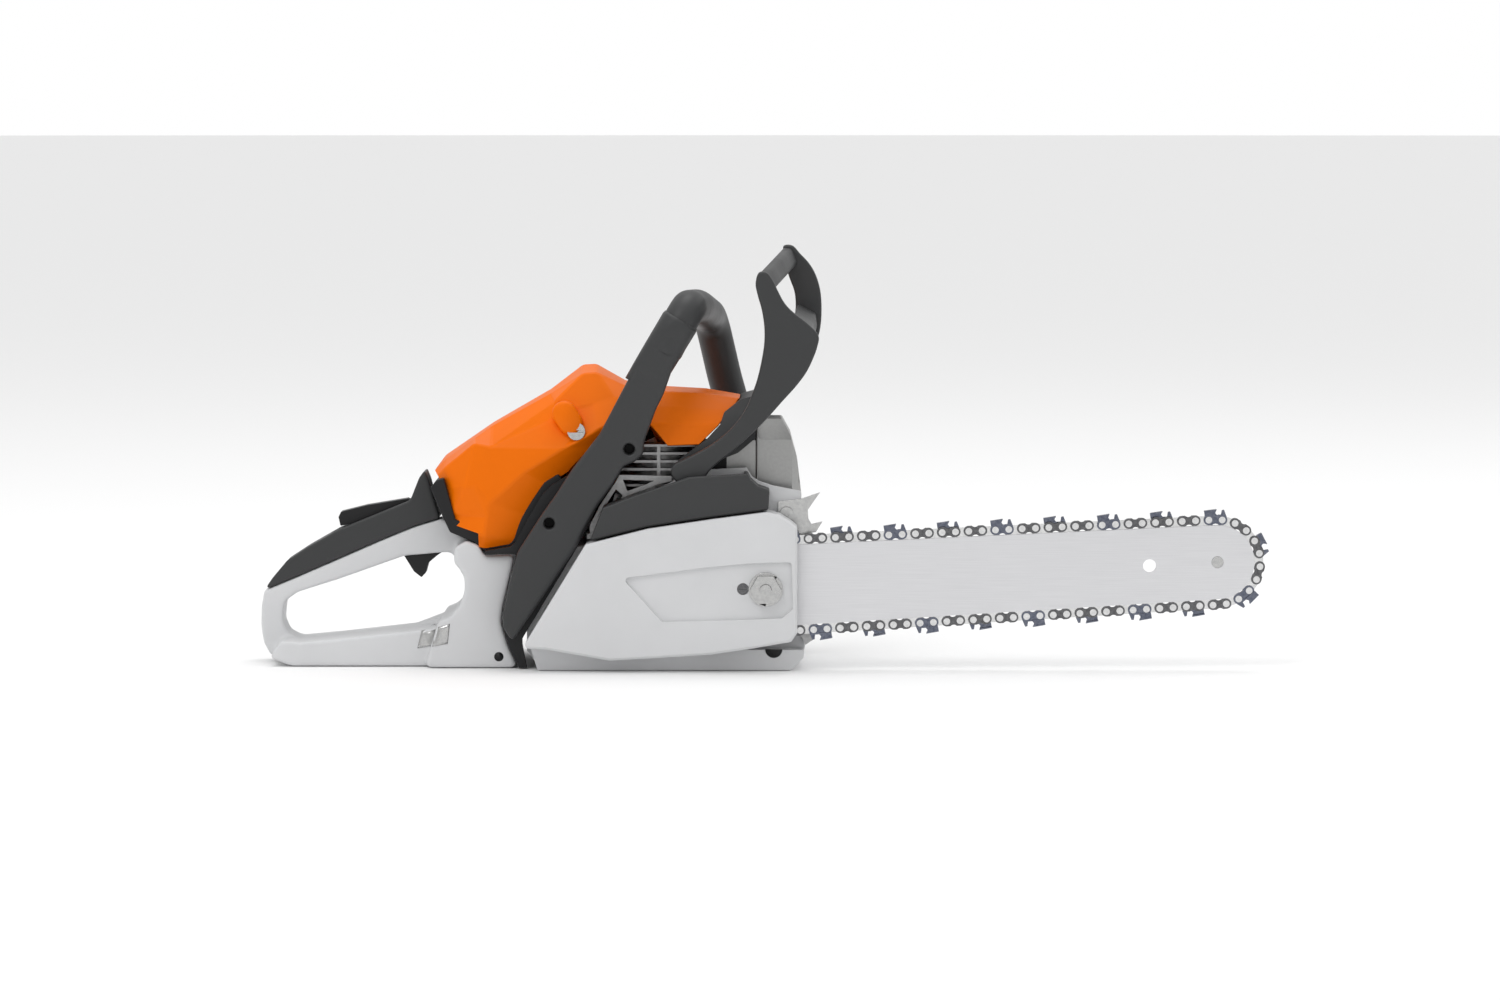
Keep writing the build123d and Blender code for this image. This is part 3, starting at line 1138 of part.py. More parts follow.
if __name__ == "__main__":
    os.makedirs("parts", exist_ok=True)
    make_chain()
    make_bar()
    make_nose()
    make_bar_fixing()
    make_engine_housing()
    make_bumper_spike()
    make_sprocket_cover()
    make_brake_cover()
    make_clutch()
    make_crankshaft()
    make_piston()
    make_crankcase()
    make_cylinder()
    make_spark_plug()
    make_muffler()
    make_intake()
    make_flywheel()
    make_starter()
    make_fan_housing()
    make_caps()
    make_tank_housing()
    make_handle_molding()
    make_controls()
    make_front_handlebar()
    make_hand_guard()
    make_shroud()
    make_shroud_nose()
    make_engine_bracket()
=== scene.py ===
"""A petrol chainsaw dressed for a studio picture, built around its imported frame.

Everything is in metres. X runs forward along the guide bar, Y to the operator's left, Z up.
"""

import json
import math

import bmesh
import bpy
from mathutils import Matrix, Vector


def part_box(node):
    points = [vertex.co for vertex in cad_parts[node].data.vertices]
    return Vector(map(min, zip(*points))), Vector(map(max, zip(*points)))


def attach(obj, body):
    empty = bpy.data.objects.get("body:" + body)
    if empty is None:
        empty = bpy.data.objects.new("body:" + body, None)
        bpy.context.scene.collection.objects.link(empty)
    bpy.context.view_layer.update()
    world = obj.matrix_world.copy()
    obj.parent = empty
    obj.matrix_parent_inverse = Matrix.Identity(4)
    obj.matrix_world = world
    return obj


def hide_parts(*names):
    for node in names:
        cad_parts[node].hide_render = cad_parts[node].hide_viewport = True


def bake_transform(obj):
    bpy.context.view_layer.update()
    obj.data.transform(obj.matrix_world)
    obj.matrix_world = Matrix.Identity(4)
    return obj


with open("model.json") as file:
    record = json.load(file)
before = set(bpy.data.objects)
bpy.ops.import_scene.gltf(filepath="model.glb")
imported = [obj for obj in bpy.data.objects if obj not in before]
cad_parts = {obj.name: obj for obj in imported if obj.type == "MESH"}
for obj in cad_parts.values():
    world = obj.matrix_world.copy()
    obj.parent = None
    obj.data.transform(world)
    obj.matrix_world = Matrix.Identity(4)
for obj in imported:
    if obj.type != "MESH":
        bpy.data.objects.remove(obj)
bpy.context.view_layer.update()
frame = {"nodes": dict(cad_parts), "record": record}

MM = 0.001
RECORD = frame["record"]
BODY_OF = {node: body for body, nodes in RECORD["behaviour"]["bodies"].items() for node in nodes}
SLOT_OF = {entry["node"]: entry["material_slot"] for entry in RECORD["subparts"]}


# ---- node helpers ---------------------------------------------------------------


def start_group(name, inputs, outputs):
    """An empty shader group with named sockets, its input node and its output node."""
    tree = bpy.data.node_groups.new(name, "ShaderNodeTree")
    for label, kind, value in inputs:
        socket = tree.interface.new_socket(name=label, in_out="INPUT", socket_type=kind)
        socket.default_value = value
    for label, kind in outputs:
        tree.interface.new_socket(name=label, in_out="OUTPUT", socket_type=kind)
    return tree, tree.nodes.new("NodeGroupInput"), tree.nodes.new("NodeGroupOutput")


def place(tree, kind, inputs=None, **settings):
    """A node with its properties set and its inputs linked or filled in."""
    node = tree.nodes.new(kind)
    for key, value in settings.items():
        setattr(node, key, value)
    for key, value in (inputs or {}).items():
        if isinstance(value, bpy.types.NodeSocket):
            tree.links.new(value, node.inputs[key])
        else:
            node.inputs[key].default_value = value
    return node


def sums(tree, operation, first, second, clamp=False):
    """One step of arithmetic."""
    node = place(tree, "ShaderNodeMath", {0: first, 1: second}, operation=operation, use_clamp=clamp)
    return node.outputs[0]


def tint(tree, mask, below, above):
    """Colour above where the mask is 1 and below where it is 0."""
    return place(tree, "ShaderNodeMix", {0: mask, 6: below, 7: above}, data_type="RGBA").outputs[2]


def spread(tree, value, low, high, to_low=0.0, to_high=1.0):
    """The value's range low to high stretched to to_low to to_high."""
    node = place(
        tree,
        "ShaderNodeMapRange",
        {"Value": value, "From Min": low, "From Max": high, "To Min": to_low, "To Max": to_high},
    )
    return node.outputs["Result"]


def noise(tree, spot, scale, detail, roughness):
    """A three-dimensional noise texture at a place given by a socket."""
    inputs = {"Vector": spot, "Scale": scale, "Detail": detail, "Roughness": roughness}
    return place(tree, "ShaderNodeTexNoise", inputs)


FLOAT = "NodeSocketFloat"
COLOUR = "NodeSocketColor"


def make_moulded_surface():
    """Fine moulded grain, with slow changes of shade and gloss."""
    inputs = [
        ("Colour", COLOUR, (0.5, 0.5, 0.5, 1)),
        ("Grain Size", FLOAT, 0.0006),
        ("Mottle", FLOAT, 0.05),
        ("Gloss Low", FLOAT, 0.4),
        ("Gloss High", FLOAT, 0.5),
    ]
    outputs = [("Colour", COLOUR), ("Roughness", FLOAT), ("Height", FLOAT)]
    tree, given, out = start_group("moulded_surface", inputs, outputs)
    spot = place(tree, "ShaderNodeTexCoord").outputs["Object"]
    density = sums(tree, "DIVIDE", 1.0, given.outputs["Grain Size"])
    grain = noise(tree, spot, density, 3.0, 0.6)
    cloud = noise(tree, spot, 22.0, 4.0, 0.55)
    tone = spread(tree, cloud.outputs["Fac"], 0.3, 0.7)
    darker = sums(tree, "MULTIPLY", sums(tree, "SUBTRACT", 1.0, tone), given.outputs["Mottle"])
    shaded = tint(tree, darker, given.outputs["Colour"], (0, 0, 0, 1))
    low, high = given.outputs["Gloss Low"], given.outputs["Gloss High"]
    tree.links.new(shaded, out.inputs["Colour"])
    tree.links.new(spread(tree, cloud.outputs["Fac"], 0.35, 0.65, low, high), out.inputs["Roughness"])
    tree.links.new(grain.outputs["Fac"], out.inputs["Height"])
    return tree


def make_edge_rub():
    """1 on rubbed outer edges, broken up so that the rub comes and goes."""
    inputs = [("Width", FLOAT, 0.0012), ("Amount", FLOAT, 0.5)]
    tree, given, out = start_group("edge_rub", inputs, [("Mask", FLOAT)])
    geometry = place(tree, "ShaderNodeNewGeometry")
    rounding = place(tree, "ShaderNodeBevel", {"Radius": given.outputs["Width"]}, samples=4)
    lean = place(
        tree,
        "ShaderNodeVectorMath",
        {0: rounding.outputs["Normal"], 1: geometry.outputs["Normal"]},
        operation="DOT_PRODUCT",
    )
    edge = spread(tree, lean.outputs["Value"], 0.99, 0.8)
    spot = place(tree, "ShaderNodeTexCoord").outputs["Object"]
    patch = noise(tree, spot, 90.0, 5.0, 0.7)
    broken = spread(tree, patch.outputs["Fac"], 0.45, 0.65)
    rubbed = sums(tree, "MULTIPLY", edge, broken, True)
    mask = sums(tree, "MULTIPLY", rubbed, given.outputs["Amount"], True)
    tree.links.new(mask, out.inputs["Mask"])
    return tree


def make_brushed_lines():
    """Fine drawn lines, as a height and a shade, with a gloss that changes slowly."""
    inputs = [
        ("Stretch", "NodeSocketVector", (40.0, 900.0, 900.0)),
        ("Low", FLOAT, 0.28),
        ("High", FLOAT, 0.42),
    ]
    outputs = [("Height", FLOAT), ("Shade", FLOAT), ("Roughness", FLOAT)]
    tree, given, out = start_group("brushed_lines", inputs, outputs)
    spot = place(tree, "ShaderNodeTexCoord").outputs["Object"]
    stretch = given.outputs["Stretch"]
    pulled = place(tree, "ShaderNodeVectorMath", {0: spot, 1: stretch}, operation="MULTIPLY")
    lines = noise(tree, pulled.outputs[0], 1.0, 4.0, 0.5)
    slow = noise(tree, spot, 14.0, 3.0, 0.5)
    gloss = spread(tree, slow.outputs["Fac"], 0.3, 0.7, given.outputs["Low"], given.outputs["High"])
    tree.links.new(lines.outputs["Fac"], out.inputs["Height"])
    tree.links.new(spread(tree, lines.outputs["Fac"], 0.3, 0.7), out.inputs["Shade"])
    tree.links.new(gloss, out.inputs["Roughness"])
    return tree


MOULDED = make_moulded_surface()
RUBBED = make_edge_rub()
BRUSHED = make_brushed_lines()


def use_group(tree, group, **values):
    """A group placed in a material, with underscores for the spaces in its inputs' names."""
    node = tree.nodes.new("ShaderNodeGroup")
    node.node_tree = group
    for label, value in values.items():
        node.inputs[label.replace("_", " ")].default_value = value
    return node


def start_material(name):
    """A new material, its node tree and its shader."""
    material = bpy.data.materials.new(name)
    material.use_nodes = True
    tree = material.node_tree
    return material, tree, tree.nodes["Principled BSDF"]


def add_bump(tree, shader, height, depth):
    """Raises the surface by up to depth metres where the height is 1."""
    bump = place(tree, "ShaderNodeBump", {"Height": height, "Distance": depth, "Strength": 1.0})
    tree.links.new(bump.outputs["Normal"], shader.inputs["Normal"])


def plastic(name, colour, low, high, rub_colour, rub=0.35, grain=0.0006, depth=0.00003, shine=0.45):
    """Moulded plastic with grain and rubbed edges."""
    material, tree, shader = start_material(name)
    skin = use_group(
        tree, MOULDED, Colour=(*colour, 1), Grain_Size=grain, Mottle=0.05, Gloss_Low=low, Gloss_High=high
    )
    edges = use_group(tree, RUBBED, Width=0.0011, Amount=rub)
    shade = tint(tree, edges.outputs["Mask"], skin.outputs["Colour"], (*rub_colour, 1))
    tree.links.new(shade, shader.inputs["Base Color"])
    tree.links.new(skin.outputs["Roughness"], shader.inputs["Roughness"])
    add_bump(tree, shader, skin.outputs["Height"], depth)
    shader.inputs["Specular IOR Level"].default_value = shine
    return material


def metal(name, dark, light, low, high, stretch, depth, rub_colour=None):
    """Worked metal: fine lines in one direction between two shades."""
    material, tree, shader = start_material(name)
    lines = use_group(tree, BRUSHED, Stretch=stretch, Low=low, High=high)
    shade = tint(tree, lines.outputs["Shade"], (*dark, 1), (*light, 1))
    if rub_colour:
        edges = use_group(tree, RUBBED, Width=0.0006, Amount=0.4)
        shade = tint(tree, edges.outputs["Mask"], shade, (*rub_colour, 1))
    tree.links.new(shade, shader.inputs["Base Color"])
    tree.links.new(lines.outputs["Roughness"], shader.inputs["Roughness"])
    shader.inputs["Metallic"].default_value = 1.0
    add_bump(tree, shader, lines.outputs["Height"], depth)
    return material


EVEN = (500.0, 500.0, 500.0)
ALONG_BAR = (30.0, 1500.0, 1500.0)
CREAM = (0.85, 0.85, 0.82)
SHINY_RUB = (0.6, 0.6, 0.6)
PLASTICS = {
    "orange_plastic": dict(colour=(0.90, 0.17, 0.0), low=0.36, high=0.46, rub_colour=(0.98, 0.24, 0.005),
                           rub=0.25, shine=0.12),
    "light_grey_plastic": dict(colour=(0.66, 0.665, 0.675), low=0.38, high=0.50, rub_colour=(0.8, 0.8, 0.8),
                               rub=0.3),
    "dark_grey_plastic": dict(colour=(0.036, 0.037, 0.038), low=0.40, high=0.52, rub_colour=(0.1, 0.1, 0.1),
                              grain=0.0009, depth=0.00005, shine=0.4),
    "black_plastic": dict(colour=(0.007, 0.007, 0.008), low=0.34, high=0.46, rub_colour=(0.04, 0.04, 0.04),
                          shine=0.35),
    "rubber": dict(colour=(0.012, 0.012, 0.012), low=0.60, high=0.75, rub_colour=(0.03, 0.03, 0.03),
                   rub=0.2, depth=0.00008),
    "ceramic": dict(colour=CREAM, low=0.10, high=0.16, rub_colour=CREAM, rub=0.0, depth=0.0),
    "filter_fabric": dict(colour=(0.62, 0.60, 0.52), low=0.80, high=0.92, rub_colour=(0.7, 0.7, 0.6),
                          grain=0.0012, depth=0.0004),
    "rope_fibre": dict(colour=(0.75, 0.75, 0.72), low=0.70, high=0.85, rub_colour=(0.8, 0.8, 0.8),
                       rub=0.0, depth=0.0001),
}
METALS = {
    "bar_steel": dict(dark=(0.70, 0.70, 0.715), light=(0.745, 0.745, 0.76), low=0.30, high=0.38,
                      stretch=ALONG_BAR, depth=0.000003),
    "chain_steel": dict(dark=(0.10, 0.10, 0.105), light=(0.17, 0.17, 0.175), low=0.20, high=0.30,
                        stretch=EVEN, depth=0.000004, rub_colour=SHINY_RUB),
    "cutter_steel": dict(dark=(0.09, 0.10, 0.135), light=(0.17, 0.18, 0.22), low=0.12, high=0.22,
                         stretch=EVEN, depth=0.000003, rub_colour=(0.75, 0.76, 0.8)),
    "bright_steel": dict(dark=(0.62, 0.62, 0.62), light=(0.74, 0.74, 0.74), low=0.14, high=0.22,
                         stretch=EVEN, depth=0.000002),
    "zinc_steel": dict(dark=(0.46, 0.46, 0.46), light=(0.56, 0.56, 0.55), low=0.20, high=0.30,
                       stretch=EVEN, depth=0.000003),
    "cast_aluminium": dict(dark=(0.42, 0.42, 0.42), light=(0.52, 0.52, 0.52), low=0.38, high=0.52,
                           stretch=EVEN, depth=0.00004),
    "muffler_steel": dict(dark=(0.34, 0.34, 0.335), light=(0.37, 0.37, 0.365), low=0.28, high=0.34,
                          stretch=EVEN, depth=0.000001),
    "spring_steel": dict(dark=(0.20, 0.20, 0.22), light=(0.30, 0.30, 0.32), low=0.30, high=0.42,
                         stretch=EVEN, depth=0.00001),
}
MATERIALS = {slot: plastic(slot, **look) for slot, look in PLASTICS.items()}
MATERIALS.update({slot: metal(slot, **look) for slot, look in METALS.items()})
# rivets and drive links get bright steel, their own colour; the tensioner screw gets dark chain steel as
# painted shade of the ring and socket in its hole
NODE_FINISH_AND_SHADE = {
    "chain_rivets": "bright_steel", "chain_drive_links": "bright_steel", "tensioner_screw": "chain_steel",
}
for node, item in frame["nodes"].items():
    item.data.materials.clear()
    item.data.materials.append(MATERIALS[NODE_FINISH_AND_SHADE.get(node, SLOT_OF[node])])


# ---- mesh helpers ----------------------------------------------------------------


def to_mesh(shape, name):
    """The finished mesh of a bmesh, which is freed."""
    mesh = bpy.data.meshes.new(name)
    shape.to_mesh(mesh)
    shape.free()
    return mesh


def finish_piece(name, mesh, body, slot, replaced=()):
    """Links a mesh as a piece of the saw: its material, its body and the solids it stands for."""
    mesh.materials.clear()
    mesh.materials.append(MATERIALS[slot])
    mesh.shade_smooth()
    piece = bpy.data.objects.new(name, mesh)
    bpy.context.scene.collection.objects.link(piece)
    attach(piece, body)
    if replaced:
        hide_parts(*replaced)
    return piece


def round_edges(piece, width, sharper_than=30.0, segments=3):
    """Rounds every edge that turns by more than sharper_than degrees, and keeps flat faces flat."""
    bevel = piece.modifiers.new("rounding", "BEVEL")
    bevel.width = width
    bevel.segments = segments
    bevel.limit_method = "ANGLE"
    bevel.angle_limit = math.radians(sharper_than)
    bevel.use_clamp_overlap = True
    bevel.miter_outer = "MITER_ARC"
    shading = piece.modifiers.new("flat_faces", "WEIGHTED_NORMAL")
    shading.keep_sharp = True
    shading.weight = 100


def clean_copy(node, flatness=0.05):
    """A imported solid's mesh with its flat faces merged."""
    shape = bmesh.new()
    shape.from_mesh(frame["nodes"][node].data)
    bmesh.ops.remove_doubles(shape, verts=shape.verts, dist=0.002 * MM)
    bmesh.ops.dissolve_limit(
        shape, angle_limit=math.radians(flatness), verts=shape.verts, edges=shape.edges, delimit=set()
    )
    points = [vertex.co.copy() for vertex in shape.verts]
    shape.verts.index_update()
    faces = [[vertex.index for vertex in face.verts] for face in shape.faces]
    shape.free()
    mesh = bpy.data.meshes.new(node + "_rounded")
    mesh.from_pydata(points, [], faces)
    return mesh


def soften(node, width, sharper_than=30.0, segments=3):
    """Stands a round-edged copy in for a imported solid."""
    piece = finish_piece(node + "_rounded", clean_copy(node), BODY_OF[node], SLOT_OF[node], [node])
    round_edges(piece, width, sharper_than, segments)
    return piece


SOFT_EDGES = {
    "sprocket_cover": 1.0, "brake_cover": 1.0, "engine_housing": 0.8, "handle_frame": 0.5,
    "shroud_nose": 0.8,
    "muffler_front_shell": 1.6, "muffler_rear_shell": 0.8, "fuel_cap": 0.5, "oil_cap": 0.5,
    "starter_grip": 0.8,
    "throttle_trigger": 0.8, "throttle_lockout": 1.0, "control_lever": 0.4, "bumper_spike": 0.3,
    "bar_nut": 0.5,
    "guide_bar": 0.25, "chain_cutters": 0.12, "chain_tie_straps": 0.15, "engine_bracket": 0.4,
    "cylinder": 0.3,
    "shroud_lock": 0.4, "chain_catcher": 0.4,
}
for node, width in SOFT_EDGES.items():
    soften(node, width * MM)


def melt(node, voxel, rounds):
    """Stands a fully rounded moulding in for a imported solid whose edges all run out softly."""
    piece = finish_piece(node + "_moulding", clean_copy(node), BODY_OF[node], SLOT_OF[node], [node])
    skin = piece.modifiers.new("even_skin", "REMESH")
    skin.mode = "VOXEL"
    skin.voxel_size = voxel * MM
    skin.use_smooth_shade = True
    flow = piece.modifiers.new("soft_edges", "SMOOTH")
    flow.factor = 0.5
    flow.iterations = rounds
    return piece


TANK = melt("tank_housing", 1.3, 14)
melt("handle_molding", 1.0, 8)
melt("front_handlebar", 1.2, 10)


def smooth_loop(points, steps=6):
    """Points along a closed smooth curve through the given corners."""
    curve = []
    count = len(points)
    for index in range(count):
        before, here = Vector(points[index - 1]), Vector(points[index])
        there, after = Vector(points[(index + 1) % count]), Vector(points[(index + 2) % count])
        for step in range(steps):
            t = step / steps
            curve.append(
                0.5 * (2 * here + (there - before) * t
                       + (2 * before - 5 * here + 4 * there - after) * t * t
                       + (3 * here - before - 3 * there + after) * t ** 3)
            )
    return curve


def plate_mesh(name, outline, low, high):
    """A flat plate with a curved outline given in X and Z, between two Y planes, in millimetres."""
    shape = bmesh.new()
    near = [shape.verts.new((x * MM, low * MM, z * MM)) for x, z in outline]
    far = [shape.verts.new((x * MM, high * MM, z * MM)) for x, z in outline]
    shape.faces.new(near)
    shape.faces.new(far[::-1])
    for index in range(len(outline)):
        after = (index + 1) % len(outline)
        shape.faces.new([near[after], near[index], far[index], far[after]])
    bmesh.ops.recalc_face_normals(shape, faces=shape.faces)
    return to_mesh(shape, name)


def loft_mesh(name, sections):
    """A closed body through sections with equal numbers of points, in millimetres."""
    shape = bmesh.new()
    rings = [[shape.verts.new(Vector(point) * MM) for point in section] for section in sections]
    shape.faces.new(rings[0])
    shape.faces.new(rings[-1][::-1])
    for first, second in zip(rings, rings[1:]):
        for index in range(len(first)):
            after = (index + 1) % len(first)
            shape.faces.new([first[after], first[index], second[index], second[after]])
    bmesh.ops.recalc_face_normals(shape, faces=shape.faces)
    return to_mesh(shape, name)


# ---- hand guard ------------------------------------------------------------------------

GUARD_NEAR_Y = (-79, -67)
GUARD_FAR_Y = (54, 66)
GUARD_NEAR_ARM = [
    (74.5, 277.3), (72.3, 270), (73.7, 262), (76.6, 251.6), (78.3, 240), (78.3, 228.4), (76.6, 216.9),
    (73.7, 204.1),
    (70.2, 193.8), (65.6, 182.8), (58.7, 172.8), (49.5, 163.7), (37.9, 155.5), (24, 148.4), (15.5, 144.2),
    (13.4, 140), (15, 134.5), (21, 128), (29, 121.5), (36.5, 128), (38.5, 137), (46, 145), (56.3, 153.2),
    (67.9, 163.7), (79.5, 175.2), (90.9, 188), (100.2, 198.3), (107.2, 207.6), (111.9, 216.9), (115.2, 226),
    (115.9, 234), (108.4, 242.2), (98.2, 250.1), (92.3, 256.5), (87.9, 264.5), (84.4, 271.9), (80, 277.5),
]
GUARD_FAR_ARM = [
    (92.5, 292.5), (93, 285), (96, 272), (100, 261), (101.2, 252), (100.5, 243), (96.5, 228), (90, 213),
    (81, 199),
    (70, 184), (58, 170), (44, 157), (28, 147), (21.5, 138), (21.5, 129), (30, 121.5), (38, 129), (47, 140),
    (60, 151), (74, 164), (88, 179), (100, 194), (110, 210), (117, 226), (119.6, 240), (119.3, 258),
    (116, 271),
    (111, 280), (104.5, 287), (99, 292.8),
]
GUARD_BARS = {
    "guard_top_bar": (
        [(74, 277), (80.4, 276.6), (85.5, 267), (82, 262.5), (76.2, 264.5)],
        [(93, 292.6), (99.4, 292), (103.5, 282), (100.5, 277.5), (95.5, 279)],
    ),
    "guard_low_bar": (
        [(98.5, 247.5), (110.5, 238.5), (112, 229), (107.5, 212), (98, 205.5), (101, 229)],
        [(103, 252), (116, 245), (117, 236), (112.5, 220), (101.5, 208.5), (105, 232)],
    ),
}


def make_hand_guard():
    """Two curved arms joined by a top bar and a wide lower bar."""
    arms = ((GUARD_NEAR_ARM, GUARD_NEAR_Y), (GUARD_FAR_ARM, GUARD_FAR_Y))
    for name, (outline, (low, high)) in zip(("guard_right_arm", "guard_left_arm"), arms):
        mesh = plate_mesh(name, smooth_loop(outline, 5), low, high)
        arm = finish_piece(name, mesh, "guard", "dark_grey_plastic", ["hand_guard"])
        round_edges(arm, 1.6 * MM, 40)
    for name, (near, far) in GUARD_BARS.items():
        ends = [
            [(x, GUARD_NEAR_Y[0] + 3, z) for x, z in near],
            [(x, GUARD_FAR_Y[1] - 3, z) for x, z in far],
        ]
        bar = finish_piece(name, loft_mesh(name, ends), "guard", "dark_grey_plastic")
        round_edges(bar, 1.8 * MM, 15)


make_hand_guard()

# ---- handlebar shoulder ------------------------------------------------------------------

SHOULDER_LOW = Vector((-7.5, -72, 198))
SHOULDER_HIGH = Vector((20.5, -72, 244.6))
SHOULDER_RINGS = (
    (0.0, 12.6, 8.6, 5.0), (0.25, 13.0, 9.3, 4.2), (0.5, 13.2, 10.6, 3.2), (0.75, 13.3, 12.4, 2.4),
    (0.96, 13.4, 13.4, 2.0),
    (1.0, 12.8, 12.8, 2.0),
)


def make_shoulder():
    """The top of the right leg: its flat section turns round and ends in a step where the tube comes out."""
    along = (SHOULDER_HIGH - SHOULDER_LOW).normalized()
    across = Vector((0, 1, 0))
    up = along.cross(across)
    sections = []
    for share, wide, thick, power in SHOULDER_RINGS:
        centre = SHOULDER_LOW.lerp(SHOULDER_HIGH, share)
        section = []
        for index in range(64):
            turn = 2 * math.pi * index / 64
            over, rise = math.cos(turn), math.sin(turn)
            over = math.copysign(abs(over) ** (2 / power), over)
            rise = math.copysign(abs(rise) ** (2 / power), rise)
            section.append(centre + thick * over * across + wide * rise * up)
        sections.append(section)
    mesh = loft_mesh("handlebar_shoulder", sections)
    finish_piece("handlebar_shoulder", mesh, "saw", "dark_grey_plastic")


make_shoulder()

# ---- black wall behind the shroud's rear edge, partly painted shade ------------------------

REAR_SHADE_WALL = [
    (-155.5, 126), (-151.5, 131.5), (-146, 133), (-138, 104), (-123, 98), (-118, 88), (-101, 90),
    (-88, 112),
    (-76, 130), (-66, 136), (-62, 131), (-84, 98), (-98, 83.5), (-119, 81.5), (-126, 88), (-142, 95),
    (-149, 110),
]


def make_rear_shade_wall():
    """A black plate across the saw that closes the gap under the shroud's edge; its black is partly painted
    shade under that edge.
    """
    mesh = plate_mesh("rear_shade_wall", REAR_SHADE_WALL, -53, 54)
    wall = finish_piece("rear_shade_wall", mesh, "saw", "black_plastic")
    round_edges(wall, 1.0 * MM, 25)


make_rear_shade_wall()

# ---- painted shade between the cylinder and the muffler and in dark recesses --------------

CYLINDER_GAP_SHADE_OUTLINE = [(37, 136), (52, 136), (52, 166), (44, 163), (37, 158)]


def make_cylinder_gap_shade():
    """A black plate between the cylinder and the muffler, painted shade for the dark gap between them."""
    mesh = plate_mesh("cylinder_gap_shade", CYLINDER_GAP_SHADE_OUTLINE, -38, -36)
    gap_shade = finish_piece("cylinder_gap_shade", mesh, "saw", "black_plastic")
    round_edges(gap_shade, 0.4 * MM, 40)


def make_recess_shade_disc(name, x, z, radius, y, first, last):
    """A shallow black disc, painted shade for the dark inside a recess, given as part of a disc between two
    angles in degrees.
    """
    outline = [
        (x + radius * math.cos(math.radians(turn)), z + radius * math.sin(math.radians(turn)))
        for turn in (first + (last - first) * step / 24 for step in range(24 + (last - first < 360)))
    ]
    finish_piece(name, plate_mesh(name, outline, y - 0.15, y + 1.0), "saw", "black_plastic")


# painted shade in the gap between the cylinder and the muffler
make_cylinder_gap_shade()
# painted shade: black discs for the dark inside the skirt pocket and the tank screw well
make_recess_shade_disc("skirt_pocket_shade", 85, 14.5, 6.0, -74, 180, 360)
make_recess_shade_disc("tank_screw_well_shade", -107.7, 7.8, 3.3, -58, 0, 360)

# ---- blank sticker on the rear handle -------------------------------------------------------

STICKER_CORNERS = ((-165.5, 12.5), (-143.5, 17), (-142, 31), (-162.5, 25))
STICKER_LIFT = 0.25
STICKER_THICKNESS = 0.15
STICKER_ROWS = 7
STICKER_COLUMNS = 11


def make_sticker():
    """A plain foil label that follows the handle's side."""
    bpy.context.view_layer.update()
    shown = TANK.evaluated_get(bpy.context.evaluated_depsgraph_get())
    corners = [Vector(corner) for corner in STICKER_CORNERS]
    shape = bmesh.new()
    rows = []
    for down in range(STICKER_ROWS):
        row = []
        for over in range(STICKER_COLUMNS):
            along = over / (STICKER_COLUMNS - 1)
            low = corners[0].lerp(corners[1], along)
            high = corners[3].lerp(corners[2], along)
            x, z = low.lerp(high, down / (STICKER_ROWS - 1))
            _, spot, _, _ = shown.ray_cast(Vector((x * MM, -0.2, z * MM)), Vector((0, 1, 0)))
            row.append(shape.verts.new(spot - Vector((0, STICKER_LIFT * MM, 0))))
        rows.append(row)
    for first, second in zip(rows, rows[1:]):
        for index in range(STICKER_COLUMNS - 1):
            shape.faces.new([first[index], first[index + 1], second[index + 1], second[index]])
    mesh = to_mesh(shape, "blank_sticker")
    sticker = finish_piece("blank_sticker", mesh, "saw", "zinc_steel")
    thick = sticker.modifiers.new("foil", "SOLIDIFY")
    thick.thickness = STICKER_THICKNESS * MM


make_sticker()

# ---- starter rope -----------------------------------------------------------------------------


ROPE_STRANDS = 3
ROPE_TURNS = 9


def make_starter_rope():
    """A laid rope of three strands, which runs from the rotor to the grip."""
    low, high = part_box("starter_rope")
    centre = (low + high) / 2
    radius = (high.x - low.x) / 2
    rings = 90
    shape = bmesh.new()
    for strand in range(ROPE_STRANDS):
        last = None
        for ring in range(rings + 1):
            share = ring / rings
            twist = 2 * math.pi * (strand / ROPE_STRANDS + share * ROPE_TURNS)
            middle = Vector((
                centre.x + 0.5 * radius * math.cos(twist),
                centre.y + 0.5 * radius * math.sin(twist),
                low.z + share * (high.z - low.z),
            ))
            loop = []
            for corner in range(8):
                turn = 2 * math.pi * corner / 8
                offset = Vector((math.cos(turn), math.sin(turn), 0)) * radius * 0.5
                loop.append(shape.verts.new(middle + offset))
            if last:
                for corner in range(8):
                    after = (corner + 1) % 8
                    shape.faces.new([last[corner], last[after], loop[after], loop[corner]])
            else:
                shape.faces.new(loop[::-1])
            last = loop
        shape.faces.new(last)
    bmesh.ops.recalc_face_normals(shape, faces=shape.faces)
    mesh = to_mesh(shape, "starter_rope_strands")
    mesh.materials.append(MATERIALS["rope_fibre"])
    mesh.shade_smooth()
    rope = bpy.data.objects.new("starter_rope_strands", mesh)
    bpy.context.scene.collection.objects.link(rope)
    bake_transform(rope)
    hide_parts("starter_rope")


make_starter_rope()


# ---- shroud ---------------------------------------------------------------------------

